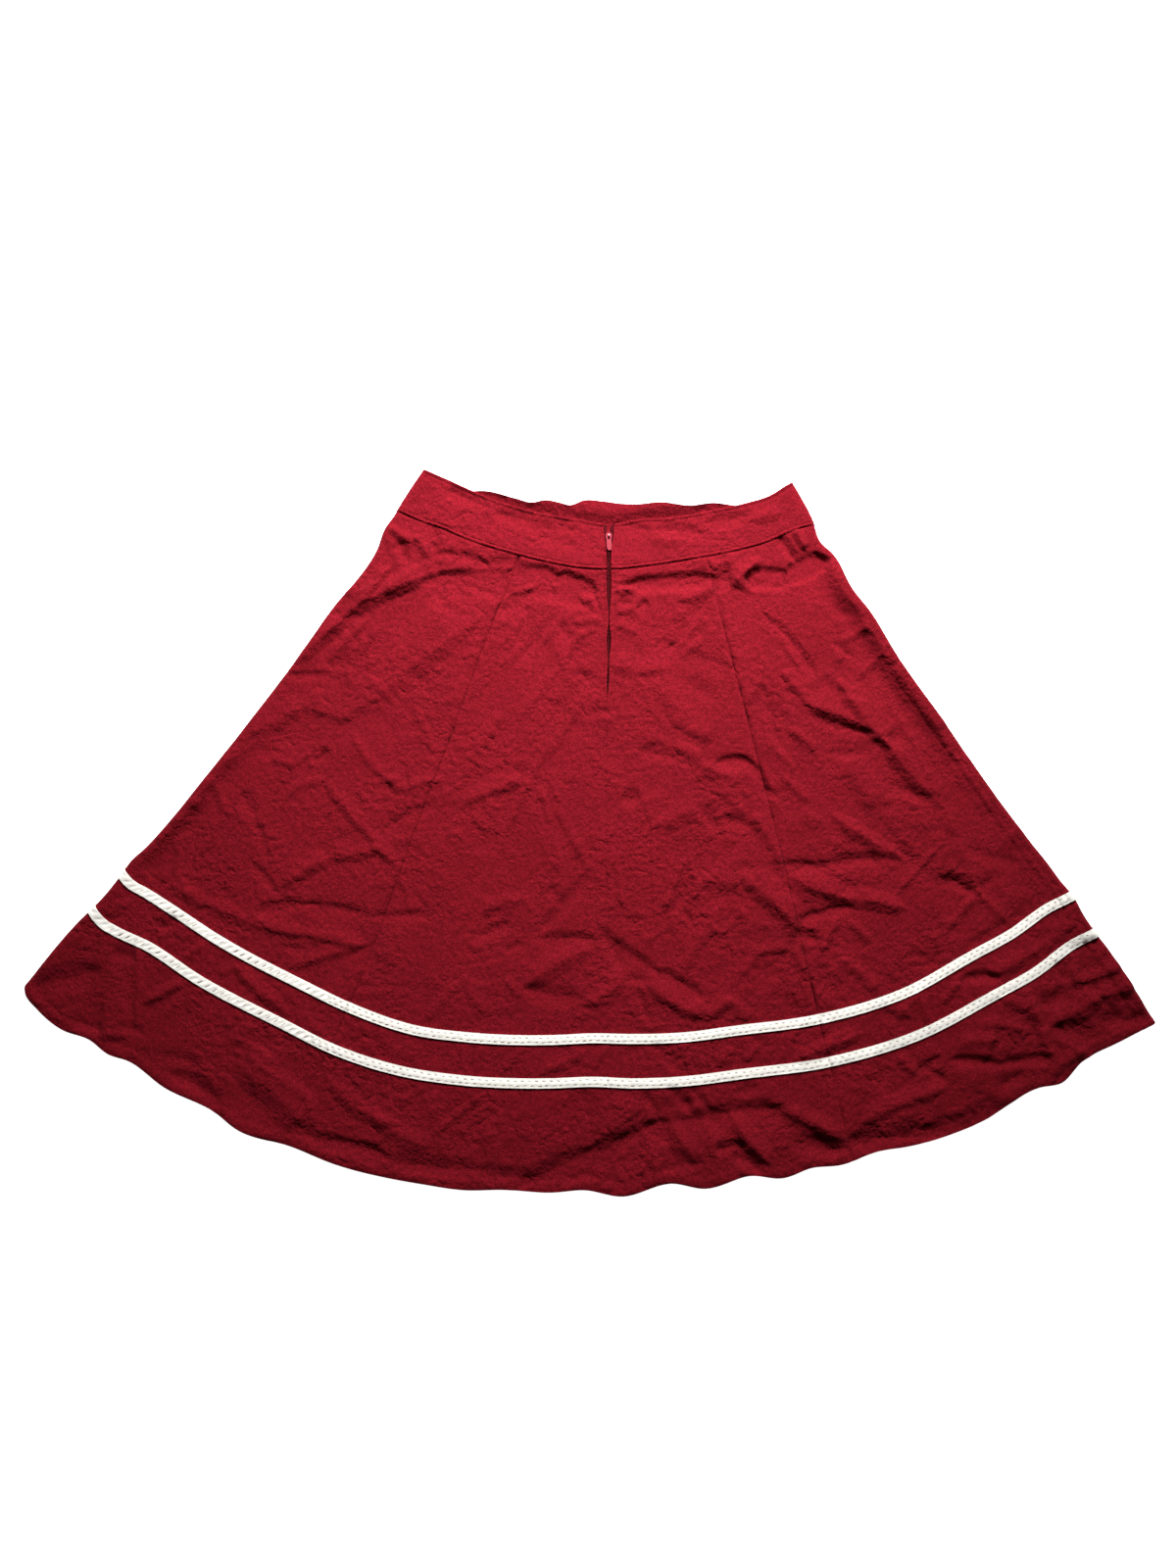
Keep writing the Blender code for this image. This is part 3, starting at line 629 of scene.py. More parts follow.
def ripple(x, y, size, seed):
    """Even noise from -1 to 1: heights at random on a square net of the given size, joined smoothly."""
    net = np.random.default_rng(seed).uniform(-1, 1, (64, 64))
    u, v = (0.8 * x + 0.6 * y) / size + 500, (0.8 * y - 0.6 * x) / size + 500
    i, j = np.floor(u).astype(int), np.floor(v).astype(int)
    s, t = smooth(u - i), smooth(v - j)
    i0, j0, i1, j1 = i % 64, j % 64, (i + 1) % 64, (j + 1) % 64
    low = net[i0, j0] * (1 - s) + net[i1, j0] * s
    high = net[i0, j1] * (1 - s) + net[i1, j1] * s
    return low * (1 - t) + high * t


def creases(x, y, marks):
    """The sum of a table's creases at (x, y). A crease is a tent: it falls evenly from its line to nothing at its
    reach on each side, and it and its reach shrink evenly towards both ends."""
    height = np.zeros_like(x)
    for x0, y0, x1, y1, bow, rise, waist, hem in zip(*marks.values()):
        length = np.hypot(x1 - x0, y1 - y0)
        along_x, along_y = (x1 - x0) / length, (y1 - y0) / length
        dx, dy = x - x0 - MARKED_FROM[0], y - y0 - MARKED_FROM[1]
        t = (dx * along_x + dy * along_y) / length
        across = dy * along_x - dx * along_y - bow * 4 * t * (1 - t)
        reach = REACH * np.where(across > 0, waist, hem)
        ends = np.clip(np.minimum(t, 1 - t) / 0.25 + 0.3, 0, 1)
        height += CREASE_DEPTH * rise * np.maximum(ends - np.sqrt(across**2 + 0.3) / reach, 0)
    return height


def depth_at(x, y):
    """How deep creases are: deepest in the gathers under the waistband and a little deeper to the right."""
    return 0.7 + 1.15 * smooth((y - 120) / 160) + 0.3 * smooth(x / 300)


def fine_creases(count, seed):
    """A table of many small creases at random, most of them along the cone's own lines, and higher to the right."""
    draw = np.random.default_rng(seed)
    angle, radius = draw.uniform(-36, 34, count), np.sqrt(draw.uniform(350**2, 955**2, count))
    x, y = place(angle, radius)
    x, y = x - MARKED_FROM[0], y - MARKED_FROM[1]
    turn = np.radians(angle) + np.radians(draw.normal(0, 38, count))
    half = draw.uniform(10, 42, count)
    dx, dy = half * np.abs(np.sin(turn)), -half * np.cos(turn) * np.sign(np.sin(turn))
    rise = draw.uniform(0.35, 1.0, count) * np.sign(draw.uniform(-1, 1.6, count)) * (0.8 + x / 1400)
    reach = draw.uniform(3, 8, count), draw.uniform(3, 12, count)
    bow = draw.normal(0, 2, count)
    names = "x0 y0 x1 y1 bow rise waist hem".split()
    return dict(zip(names, (x - dx, y - dy, x + dx, y + dy, bow, rise, *reach)))


def crumple(x, y, size, seed):
    """Ridges that meet in a net of the given size: 1 on a ridge, falling to about -1 in the hollows. The net is the
    nought of a ripple whose place is itself shifted by a broader ripple."""
    u = x + 0.5 * size * ripple(x, y, 2.1 * size, seed + 40)
    v = y + 0.5 * size * ripple(x, y, 2.1 * size, seed + 50)
    return 1 - 2.6 * np.sqrt(ripple(u, v, size, seed) ** 2 + 0.004)


def band_drop(radius):
    """Distance below the waistband's top edge, at the zip."""
    return radius - read(BAND, "back_top", np.zeros_like(radius))


def zip_start():
    """Radius of the zip's top, at the waistband's top edge."""
    return read(BAND, "back_top", np.zeros(1))[0]


def seam_distance(angle, radius, name):
    """Distance in millimetres from a seam, positive to its right."""
    return np.radians(angle - read(SEAMS, name, radius)) * radius


def fold_distance(angle, radius, name):
    """Distance in millimetres from a side fold, positive towards the skirt's middle."""
    inwards = {"left": 1, "right": -1}[name]
    return inwards * np.radians(angle - read(SIDES, name, radius)) * radius


def profile(distance, rows):
    """The sum of a table's bumps, each rise times bump, over the distance from a line."""
    return sum(rise * bump(distance - middle, width) for middle, width, rise in zip(*rows.values()))


def waves(x, y):
    """Broad ripples, and nets of crumples in patches, which are strongest in the busy part: to the right and towards
    the waist."""
    busy = smooth(0.5 + x / 500 + y / 700)
    total = sum(depth * ripple(x, y, size, seed) for depth, size, seed in WAVES)
    for depth, more, size, seed, patch, patch_seed in CRUMPLES:
        here = smooth(0.5 + ripple(x, y, patch, patch_seed))
        total = total + (depth + more * busy) * crumple(x, y, size, seed) * here
    return total


def side_beads(y, left, right):
    """The rounded beads just inside the side folds: bumps over the distance from each fold. The left one is highest
    a little above the middle of the skirt, the right one over the hip, where a hollow follows it."""
    hip = smooth((280 - y) / 50) * smooth((y - 20) / 90)
    beads = (BEAD + LEFT_BEAD * bump(y - 15, 55)) * bump(left - BEAD_IN, 8)
    return beads + (BEAD + HIP_BEAD * hip) * bump(right - BEAD_IN, 10) - HIP_HOLLOW * hip * bump(right - 28, 9)


def centre_back(angle, radius, x, y, fade):
    """What the zip does to the cloth beside it: a swell with a groove of stitches and a broader ripple, turning into
    a plain puckered seam below it."""
    beside = np.abs(seam_distance(angle, radius, "centre"))
    zipped = smooth((ZIP_LENGTH + 6 - band_drop(radius)) / 12)
    pucker = 1 + 0.8 * ripple(x, y, 8, 6)
    swell = 1.3 * bump(beside, 9) - 0.5 * bump(beside - 5.2, 1.2) * pucker
    swell = swell + 0.5 * smooth((beside - 6) / 6) * bump(beside, 26) * ripple(x * 0.3, y, 9, 7)
    return zipped * swell + (1 - zipped) * fade * profile(beside, CENTRE_SEAM_BUMPS) * pucker


def height(angle, radius):
    """The back's puff: its waves and creases, the beads beside the side folds, and what the seams, the zip, the
    waistband's edges and the turned-up hem do to the cloth beside them, kept softly between its least and its most."""
    x, y = place(angle, radius)
    below = radius - read(BAND, "seam", angle)
    panel = smooth(below / 2)
    taped = sum(bump(radius - read(TRIM, name, angle), TRIM_HOLDS) for name, _ in TRIMS)
    deep = depth_at(x, y) * (1 - FLAT_UNDER_TRIM * np.clip(taped, 0, 1)) * (0.5 + 0.5 * panel)
    puff = PUFF + waves(x, y)
    for marks in (WAIST_CREASES, MIDDLE_CREASES, HEM_CREASES, fine_creases(FINE_CREASES, FINE_SEED)):
        puff += deep * creases(x, y, marks)
    left, right = (fold_distance(angle, radius, name) for name, _ in BOTH_SIDES)
    puff += side_beads(y, left, right)
    puff += panel * smooth((radius - 480) / 120) * profile(right, RIGHT_TURNING_BUMPS)
    fade = 1 - 0.3 * smooth((radius - 420) / 420)
    pucker = 1 + 0.6 * ripple(x, y, 9, 5)
    for name, _ in BOTH_SIDES:
        beside = np.abs(seam_distance(angle, radius, name))
        puff += panel * fade * profile(beside, SEAM_BUMPS) * pucker
    puff += centre_back(angle, radius, x, y, fade)
    puff += profile(below, BAND_SEAM_BUMPS)
    puff += profile(radius - read(BAND, "back_top", angle), BAND_EDGE_BUMPS)
    hem = read(HEM, "radius", angle) - radius
    puff += 0.7 * smooth((HEM_STITCHES + 2 - hem) / 2.5) + profile(hem, HEM_BUMPS)
    puff = LEAST_PUFF + SOFTNESS * np.logaddexp(0, (puff - LEAST_PUFF) / SOFTNESS)
    return MOST_PUFF - SOFTNESS * np.logaddexp(0, (MOST_PUFF - puff) / SOFTNESS)


def layer(puff, angle, roll, radius, offset, wall):
    """Points of the cloth at a height offset over the back's outer face. Where roll isn't 0, the cloth has turned
    down round a side fold by that angle, on an ellipse that ends upright on the floor."""
    turned = np.radians(np.abs(roll))
    out = (ROLL + offset) * np.sin(turned)
    x, y = place(angle + np.sign(roll) * degrees_of(out, radius), radius)
    z = (LIFT + wall + puff + offset) * np.cos(turned)
    return np.stack([x, y, z], axis=-1)


def own_rows(radius):
    """The radii, with row i taken from the i-th grid where each row had angles of its own."""
    if radius.ndim == 2:
        return radius
    return radius[np.arange(len(radius)), np.arange(len(radius))]


def rows_between(first, last, count):
    """count + 1 rows of radii from the first to the last, at each angle."""
    shares = np.linspace(0, 1, count + 1).reshape((-1,) + (1,) * np.ndim(first))
    return first * (1 - shares) + last * shares


def gore_rows(angle):
    """A gore's rows, from just below the waistband's seam to the hem."""
    return rows_between(read(BAND, "seam", angle) + 0.05, read(HEM, "radius", angle), ROWS["gore"])


def band_rows(angle):
    """The back waistband's rows, from its top edge to its seam."""
    return rows_between(read(BAND, "back_top", angle), read(BAND, "seam", angle) - SEAM_GAP / 2, ROWS["band"])


def front_panel_rows(angle):
    """The front's rows, from below its waistband to a little short of the back's hem."""
    first = read(BAND, "front_top", angle) + BAND_DEPTH + SEAM_GAP / 2
    return rows_between(first, read(HEM, "radius", angle) - FRONT_HEM_INSET, ROWS["front_panel"])


def front_band_rows(angle):
    """The front waistband's rows, from its top edge to its seam."""
    edge = read(BAND, "front_top", angle)
    return rows_between(edge, edge + BAND_DEPTH - SEAM_GAP / 2, ROWS["waistband_front"])


def trim_rows(angle, name):
    """A trim's rows, across its width."""
    first = read(TRIM, name, angle) - TRIM_WIDTH / 2
    return rows_between(first, first + TRIM_WIDTH, ROWS["trim"])


def centre_edge(radius, side):
    """Angle of one lip of the zip, and of the seam below it. side is -1 on the left and 1 on the right."""
    half = read(LIPS, "half_gap", np.maximum(band_drop(radius), 0))
    return read(SEAMS, "centre", radius) + side * degrees_of(half, radius)


def middle_line(radius):
    """Angle of the cone's middle line, which is 0 at every radius."""
    return 0 * radius


def seam_edge(radius, name, side):
    """Angle of a gore's edge at one of the two outer seams."""
    gap = SEAM_GAP * (1 - 0.85 * smooth((radius - CLOSED_FROM) / 50))
    return read(SEAMS, name, radius) + side * degrees_of(gap / 2, radius)


def side_inset(radius, side, inset=ROLL):
    """Angle of a line inside a side fold. The cloth starts to turn down round the fold at the roll's own inset."""
    name = "left" if side < 0 else "right"
    return read(SIDES, name, radius) - side * degrees_of(inset, radius)


def grid(inner, outer, side, radius_of, columns):
    """Angle, roll and radius of a piece's points, from its inner edge to its outer one. A piece with a side ends in
    the turned cloth of that side fold."""
    shares = np.linspace(0, 1, columns + 1)
    middle = np.full(1, 600.0)
    angle = inner(middle) * (1 - shares) + outer(middle) * shares
    for _ in range(3):
        radius = own_rows(radius_of(angle))
        angle = inner(radius) * (1 - shares) + outer(radius) * shares
    roll = np.zeros_like(angle)
    for turned in np.linspace(0, 90, 10)[1:] if side else ():
        out = degrees_of(ROLL * np.sin(np.radians(turned)), radius[:, -1:])
        beyond = own_rows(radius_of(outer(radius[:, -1:]) + side * out))
        angle = np.concatenate([angle, outer(beyond)], axis=1)
        roll = np.concatenate([roll, np.full_like(beyond, side * turned)], axis=1)
        radius = np.concatenate([radius, beyond], axis=1)
    return angle, roll, radius


def new_mesh(name, points, quads, uv, finish):
    """A new object with the points in millimetres and one UV pair a point, in metres along the cloth."""
    mesh = bpy.data.meshes.new(name)
    quads = np.asarray(quads, np.int32)
    mesh.vertices.add(len(points))
    mesh.vertices.foreach_set("co", (np.asarray(points) * MM).astype(np.float32).ravel())
    mesh.loops.add(quads.size)
    mesh.loops.foreach_set("vertex_index", quads.ravel())
    mesh.polygons.add(len(quads))
    mesh.polygons.foreach_set("loop_start", np.arange(0, quads.size, 4, dtype=np.int32))
    mesh.update(calc_edges=True)
    if uv is not None:
        layer_of_uv = mesh.uv_layers.new(name="cloth")
        layer_of_uv.data.foreach_set("uv", (uv[quads.ravel()] * MM).astype(np.float32).ravel())
    mesh.shade_smooth()
    mesh.set_sharp_from_angle(angle=SHARP)
    mesh.materials.append(finish)
    made = bpy.data.objects.new(name, mesh)
    bpy.context.scene.collection.objects.link(made)
    return made


def shell(name, lower, upper, uv, finish):
    """The closed wall between two grids of points with the same rows and columns. Its under face and its upper face
    face away from each other, and a strip of squares joins them all round the rim."""
    rows, columns = lower.shape[:2]
    number = np.arange(rows * columns).reshape(rows, columns)
    corners = [number[:-1, :-1], number[:-1, 1:], number[1:, 1:], number[1:, :-1]]
    under = np.stack([corner.ravel() for corner in corners], axis=1)
    over = under[:, ::-1] + rows * columns
    rim = np.concatenate([number[0], number[1:, -1], number[-1, -2::-1], number[-2:0:-1, 0]])
    ahead = np.roll(rim, -1)
    edge = np.stack([rim, rim + rows * columns, ahead + rows * columns, ahead], axis=1)
    quads = np.concatenate([under, over, edge])
    points = np.concatenate([lower.reshape(-1, 3), upper.reshape(-1, 3)])
    sideways = points[quads[0]]
    normal = np.cross(sideways[1] - sideways[0], sideways[2] - sideways[0])
    if normal[2] > 0:
        quads = quads[:, ::-1]
    pairs = np.concatenate([uv.reshape(-1, 2), uv.reshape(-1, 2)])
    return new_mesh(name, points, quads, pairs, finish)


def cloth_uv(angle, roll, radius):
    """Lengths across and along the cloth from the middle of a piece, with the turned cloth unrolled."""
    middle = angle.mean()
    across = np.radians(angle - middle) * radius + ROLL * np.radians(roll)
    return np.stack([across, -radius], axis=-1)


def shader_of(name, colour, roughness):
    """A new material and its shader, with the values that are the same all over."""
    made = bpy.data.materials.new(name)
    made.use_nodes = True
    shader = made.node_tree.nodes["Principled BSDF"]
    shader.inputs["Base Color"].default_value = (*colour, 1.0)
    shader.inputs["Roughness"].default_value = roughness
    made.diffuse_color = (*colour, 1.0)
    return made, shader


def node(tree, kind, values=(), **settings):
    """A new node with its settings and input values."""
    made = tree.nodes.new(kind)
    for name, value in settings.items():
        setattr(made, name, value)
    for name, value in dict(values).items():
        made.inputs[name].default_value = value
    return made


def noise(tree, at, scale, detail=2.0):
    """A noise texture on the given coordinates."""
    made = node(tree, "ShaderNodeTexNoise", {"Scale": scale, "Detail": detail})
    tree.links.new(at, made.inputs["Vector"])
    return made.outputs["Fac"]


def weighted(tree, *parts):
    """The sum of (value - 0.5) times its weight over the parts, plus 0.5."""
    total = None
    for value, weight in parts:
        part = node(tree, "ShaderNodeMath", {1: weight, 2: (0.5 if total is None else 0.0) - 0.5 * weight})
        part.operation = "MULTIPLY_ADD"
        tree.links.new(value, part.inputs[0])
        if total is not None:
            both = node(tree, "ShaderNodeMath", operation="ADD")
            tree.links.new(total, both.inputs[0])
            tree.links.new(part.outputs[0], both.inputs[1])
            part = both
        total = part.outputs[0]
    return total


def rib_bands(tree, at, rib, distortion):
    """Even waves that are a rib's distance apart in millimetres."""
    values = {"Scale": 0.314 / (rib * MM), "Distortion": distortion}
    made = node(tree, "ShaderNodeTexWave", values, wave_type="BANDS")
    tree.links.new(at, made.inputs["Vector"])
    return made.outputs["Fac"]


def uneven_colour(tree, shader, shade, colour, darkest, lightest):
    """The shader's colour runs with the shade, between the darkest and the lightest share of the colour."""
    mixed = node(tree, "ShaderNodeMix", data_type="RGBA", blend_type="MIX")
    for socket, share in ((6, darkest), (7, lightest)):
        mixed.inputs[socket].default_value = (*[min(1, c * share) for c in colour], 1.0)
    tree.links.new(shade, mixed.inputs[0])
    tree.links.new(mixed.outputs[2], shader.inputs["Base Color"])


def ridges(tree, at, scale):
    """Sharp creases that meet in a net: how far a noise is from its middle, weaker where a broad noise is low."""
    middle = node(tree, "ShaderNodeMath", {1: 0.5}, operation="SUBTRACT")
    tree.links.new(noise(tree, at, scale, 1.5), middle.inputs[0])
    sharp = node(tree, "ShaderNodeMath", operation="ABSOLUTE")
    tree.links.new(middle.outputs[0], sharp.inputs[0])
    uneven = node(tree, "ShaderNodeMapRange", {"From Min": 0.35, "From Max": 0.65, "To Min": 0.3, "To Max": 1.2})
    tree.links.new(noise(tree, at, 0.18 * scale, 1), uneven.inputs["Value"])
    product = node(tree, "ShaderNodeMath", operation="MULTIPLY")
    tree.links.new(sharp.outputs[0], product.inputs[0])
    tree.links.new(uneven.outputs[0], product.inputs[1])
    return product.outputs[0]


def raised(tree, height, depth, normal=None, strength=1.0):
    """A normal that the height, times depth in metres, tilts further."""
    made = node(tree, "ShaderNodeBump", {"Strength": strength, "Distance": depth})
    tree.links.new(height, made.inputs["Height"])
    if normal is not None:
        tree.links.new(normal, made.inputs["Normal"])
    return made.outputs["Normal"]


def twill_finish(name, settings, colour):
    """Red cotton twill: slanting ribs, a fine nap, faint sharp creases, and colour that is uneven over the width of
    a hand."""
    made, shader = shader_of(name, colour, settings.roughness)
    tree, link = made.node_tree, made.node_tree.links.new
    shader.inputs["Specular IOR Level"].default_value = settings.gloss
    shader.inputs["Sheen Weight"].default_value = settings.sheen
    shader.inputs["Sheen Roughness"].default_value = 0.5
    shader.inputs["Sheen Tint"].default_value = (1.0, 0.35, 0.4, 1.0)
    uv = node(tree, "ShaderNodeUVMap", uv_map="cloth").outputs["UV"]
    slant = node(tree, "ShaderNodeMapping", {"Rotation": (0, 0, np.radians(settings.slant))})
    link(uv, slant.inputs["Vector"])
    ribs = rib_bands(tree, slant.outputs["Vector"], settings.rib, 0.6)
    at = node(tree, "ShaderNodeTexCoord").outputs["Object"]
    nap, mottle, patches = noise(tree, uv, 640, 1), noise(tree, uv, 230), noise(tree, at, 22, 4)
    shade = weighted(tree, (nap, 2.6), (mottle, 1.3), (patches, 0.5))
    uneven_colour(tree, shader, shade, colour, 0.7, 1.35)
    creased = None
    for scale, depth in ((65, 0.0032), (150, 0.0014)):
        creased = raised(tree, ridges(tree, at, scale), depth * settings.crumple, creased)
    woven = raised(tree, ribs, 0.00006, creased)
    link(raised(tree, nap, 0.0002, woven), shader.inputs["Normal"])
    return made


def tape_finish(name, colour, rib, roughness=0.75, gloss=0.25):
    """Woven tape: fine ribs across it and a soft uneven colour."""
    made, shader = shader_of(name, colour, roughness)
    tree, link = made.node_tree, made.node_tree.links.new
    shader.inputs["Specular IOR Level"].default_value = gloss
    shader.inputs["Sheen Weight"].default_value = 0.4 * gloss
    at = node(tree, "ShaderNodeTexCoord").outputs["Object"]
    ribs = rib_bands(tree, at, rib, 1.0)
    uneven_colour(tree, shader, noise(tree, at, 700), colour, 0.88, 1.1)
    link(raised(tree, ribs, 0.0002, strength=0.4), shader.inputs["Normal"])
    return made


def enamel_finish(name, colour):
    """Thick glossy enamel over metal, with a faint orange peel."""
    made, shader = shader_of(name, colour, 0.22)
    tree, link = made.node_tree, made.node_tree.links.new
    shader.inputs["Specular IOR Level"].default_value = 0.7
    shader.inputs["Coat Weight"].default_value = 0.6
    shader.inputs["Coat Roughness"].default_value = 0.12
    at = node(tree, "ShaderNodeTexCoord").outputs["Object"]
    link(raised(tree, noise(tree, at, 900), 0.0001, strength=0.2), shader.inputs["Normal"])
    return made


def finish_named(name, make, *settings):
    """The material of that name, made when it is first asked for."""
    return bpy.data.materials.get(name) or make(name, *settings)


def add_to_skirt(piece, slot, *nodes):
    """The piece moves with the skirt and stands for the named nodes. The slot is not used."""
    if nodes:
        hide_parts(*nodes)
    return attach(piece, "skirt")


def cloth_piece(name, points, offset, settings):
    """One piece of the back: its grid of angle, roll and radius as a thin shell at its height."""
    angle, roll, radius = points
    puff = height(angle, radius)
    upper = layer(puff, angle, roll, radius, offset, settings.wall)
    lower = layer(puff, angle, roll, radius, -settings.wall, settings.wall)
    twill = finish_named("twill_weave", twill_finish, settings, settings.colour)
    piece = shell(name + "_cloth", lower, upper, cloth_uv(angle, roll, radius), twill)
    add_to_skirt(piece, "red_twill", name)


def capsules(name, centre, along, up, length, width, finish):
    """Many small rounded stitches as one mesh. Each is five rings of four points round the line along it."""
    stations = np.array([-0.5, -0.38, 0.0, 0.38, 0.5])
    swell = np.array([0.3, 0.85, 1.0, 0.85, 0.3])
    side = np.cross(up, along)
    ring = np.array([[1, 0], [0, 1], [-1, 0], [0, -1]])
    count = len(centre)
    spine = centre[:, None] + along[:, None] * (stations * length)[None, :, None]
    around = side[:, None, None] * ring[None, None, :, :1] + up[:, None, None] * ring[None, None, :, 1:] * 0.6
    points = spine[:, :, None] + around * (swell * width / 2)[None, :, None, None]
    number = np.arange(20).reshape(5, 4)
    ahead = np.roll(number, -1, axis=1)
    walls = np.stack([number[:-1], ahead[:-1], ahead[1:], number[1:]], axis=-1).reshape(-1, 4)
    faces = np.concatenate([walls, [number[0, ::-1], number[-1]]])
    quads = (faces[None] + 20 * np.arange(count)[:, None, None]).reshape(-1, 4)
    first = points.reshape(count, 20, 3)[0][faces[0]]
    outward = np.cross(first[1] - first[0], first[2] - first[1]) @ (first.mean(0) - centre[0])
    if outward < 0:
        quads = quads[:, ::-1]
    return new_mesh(name, points.reshape(-1, 3), quads, None, finish)


def stitch_row(angle, radius, raised, wall):
    """Centres, directions and up vectors of the stitches that lie on the back at the given points."""
    x, y = place(angle, radius)
    centre = np.stack([x, y, LIFT + wall + height(angle, radius) + raised], axis=-1)
    along = np.gradient(centre, axis=0)
    along /= np.linalg.norm(along, axis=1, keepdims=True)
    up = np.array([0.0, 0.0, 1.0]) - along * along[:, 2:]
    return centre, along, up / np.linalg.norm(up, axis=1, keepdims=True)


class ClothSettings(bpy.types.PropertyGroup):
    """The twill and how it is sewn."""

    wall: bpy.props.FloatProperty(name="Wall", description="Thickness of the twill in millimetres", default=1.0)
    colour: bpy.props.FloatVectorProperty(
        name="Colour", description="Colour of the twill", default=(0.147, 0.0048, 0.0097), size=3, subtype="COLOR"
    )
    roughness: bpy.props.FloatProperty(name="Roughness", description="Roughness of the twill", default=0.85)
    gloss: bpy.props.FloatProperty(name="Gloss", description="Specular level of the twill", default=0.016)
    sheen: bpy.props.FloatProperty(name="Sheen", description="Sheen of the twill's nap", default=0.024)
    rib: bpy.props.FloatProperty(name="Rib", description="Distance between ribs in millimetres", default=0.8)
    slant: bpy.props.FloatProperty(name="Slant", description="Slant of the ribs in degrees", default=32.0)
    crumple: bpy.props.FloatProperty(name="Crumple", description="Strength of the fine crumples", default=1.5)
    stitch: bpy.props.FloatProperty(name="Stitch", description="Length of a stitch in millimetres", default=2.4)


class TrimSettings(bpy.types.PropertyGroup):
    """The two cream trims."""

    colour: bpy.props.FloatVectorProperty(
        name="Colour", description="Colour of the tape", default=(1.0, 0.92, 0.84), size=3, subtype="COLOR"
    )
    wall: bpy.props.FloatProperty(name="Wall", description="Thickness of the tape in millimetres", default=0.8)
    dent: bpy.props.FloatProperty(name="Dent", description="Depth of a stitch in millimetres", default=0.55)
    small_pitch: bpy.props.FloatProperty(
        name="Small pitch", description="Distance between small stitches in millimetres", default=7.4
    )
    large_pitch: bpy.props.FloatProperty(
        name="Large pitch", description="Distance between large stitches in millimetres", default=9.0
    )


class ZipSettings(bpy.types.PropertyGroup):
    """The back zip."""

    # The tapes' and coil's colour is darker than the tape's own red: painted shade for the dark channel between the
    # zip's lips
    tape: bpy.props.FloatVectorProperty(
        name="Tape", description="Colour of the tapes and coil", default=(0.054, 0.002, 0.004), size=3, subtype="COLOR"
    )
    enamel: bpy.props.FloatVectorProperty(
        name="Enamel", description="Colour of slider and pull", default=(0.28, 0.023, 0.039), size=3, subtype="COLOR"
    )
    pitch: bpy.props.FloatProperty(name="Pitch", description="Distance between coil turns in millimetres", default=1.4)


class StageSettings(bpy.types.PropertyGroup):
    """The camera, the floor and the lights."""

    eye: bpy.props.FloatVectorProperty(
        name="Eye", description="Where the camera stands", default=(-0.00117, -0.13279, 1.1883), size=3, unit="LENGTH"
    )
    target: bpy.props.FloatVectorProperty(
        name="Target", description="What the camera looks at", default=(-0.00117, 0.03421, 0.0), size=3, unit="LENGTH"
    )
    lens: bpy.props.FloatProperty(name="Lens", description="Focal length for a 36 mm high sensor", default=27.405)
    key_power: bpy.props.FloatProperty(name="Key", description="Power of the soft light in watts", default=11.5)
    key_place: bpy.props.FloatVectorProperty(
        name="Key place", description="Where the soft light hangs", default=(0.16, 1.2, 0.85), size=3, unit="LENGTH"
    )
    key_target: bpy.props.FloatVectorProperty(
        name="Key target", description="What the soft light points at", default=(0.0, 0.29, 0.0), size=3, unit="LENGTH"
    )
    key_spread: bpy.props.FloatProperty(
        name="Key spread", description="How wide the soft light shines", default=1.1, subtype="ANGLE"
    )
    air: bpy.props.FloatProperty(name="Air", description="Even light from all round", default=0.039)


class SKIRT_OT_back_gores(bpy.types.Operator):
    """Makes the four gores of the back"""

    bl_idname = "skirt.back_gores"
    bl_label = "Back gores"

    def execute(self, context):
        settings = context.scene.skirt_cloth
        for name, side in BOTH_SIDES:
            centre, fold = partial(centre_edge, side=side), partial(side_inset, side=side)
            near, far = (partial(seam_edge, name=name, side=way) for way in (-side, side))
            inner = grid(centre, near, 0, gore_rows, COLUMNS["centre_gore"])
            outer = grid(far, fold, side, gore_rows, COLUMNS["side_gore"])
            cloth_piece(f"back_centre_gore_{name}", inner, 0.0, settings)
            cloth_piece(f"back_side_gore_{name}", outer, 0.0, settings)
        return {"FINISHED"}


class SKIRT_OT_waistband(bpy.types.Operator):
    """Makes the two halves of the back's waistband"""

    bl_idname = "skirt.waistband"
    bl_label = "Waistband"

    def execute(self, context):
        settings = context.scene.skirt_cloth
        for name, side in BOTH_SIDES:
            centre, fold = partial(centre_edge, side=side), partial(side_inset, side=side)
            points = grid(centre, fold, side, band_rows, COLUMNS["band"])
            cloth_piece(f"waistband_back_{name}", points, BAND_EXTRA, settings)
        return {"FINISHED"}


class SKIRT_OT_front(bpy.types.Operator):
    """Makes the hidden front and its waistband, which lie on the floor"""

    bl_idname = "skirt.front"
    bl_label = "Front"

    def execute(self, context):
        settings = context.scene.skirt_cloth
        left, right = (partial(side_inset, side=side, inset=FRONT_INSET) for _, side in BOTH_SIDES)
        twill = finish_named("twill_weave", twill_finish, settings, settings.colour)
        for name, rows in (("front_panel", front_panel_rows), ("waistband_front", front_band_rows)):
            angle, roll, radius = grid(left, right, 0, rows, COLUMNS["front"])
            x, y = place(angle, radius)
            low = np.clip(creases(x, y, FRONT_CREASES), 0, 1.0)
            low = low * smooth((np.abs(angle - left(radius)) - 1) / 2) * smooth((right(radius) - angle - 1) / 2)
            if name == "waistband_front":
                edge = read(BAND, "back_top", angle)
                low = low + FRONT_STANDS * smooth((edge - radius) / 15) * smooth((34 - np.abs(angle + 2)) / 8)
            top = low + FRONT_WALLS[name] + 0.12 * ripple(x, y, 21, 8)
            lower, upper = (np.stack([x, y, z], axis=-1) for z in (low, top))
            piece = shell(name + "_cloth", lower, upper, cloth_uv(angle, roll, radius), twill)
            add_to_skirt(piece, "red_twill", name)
        return {"FINISHED"}


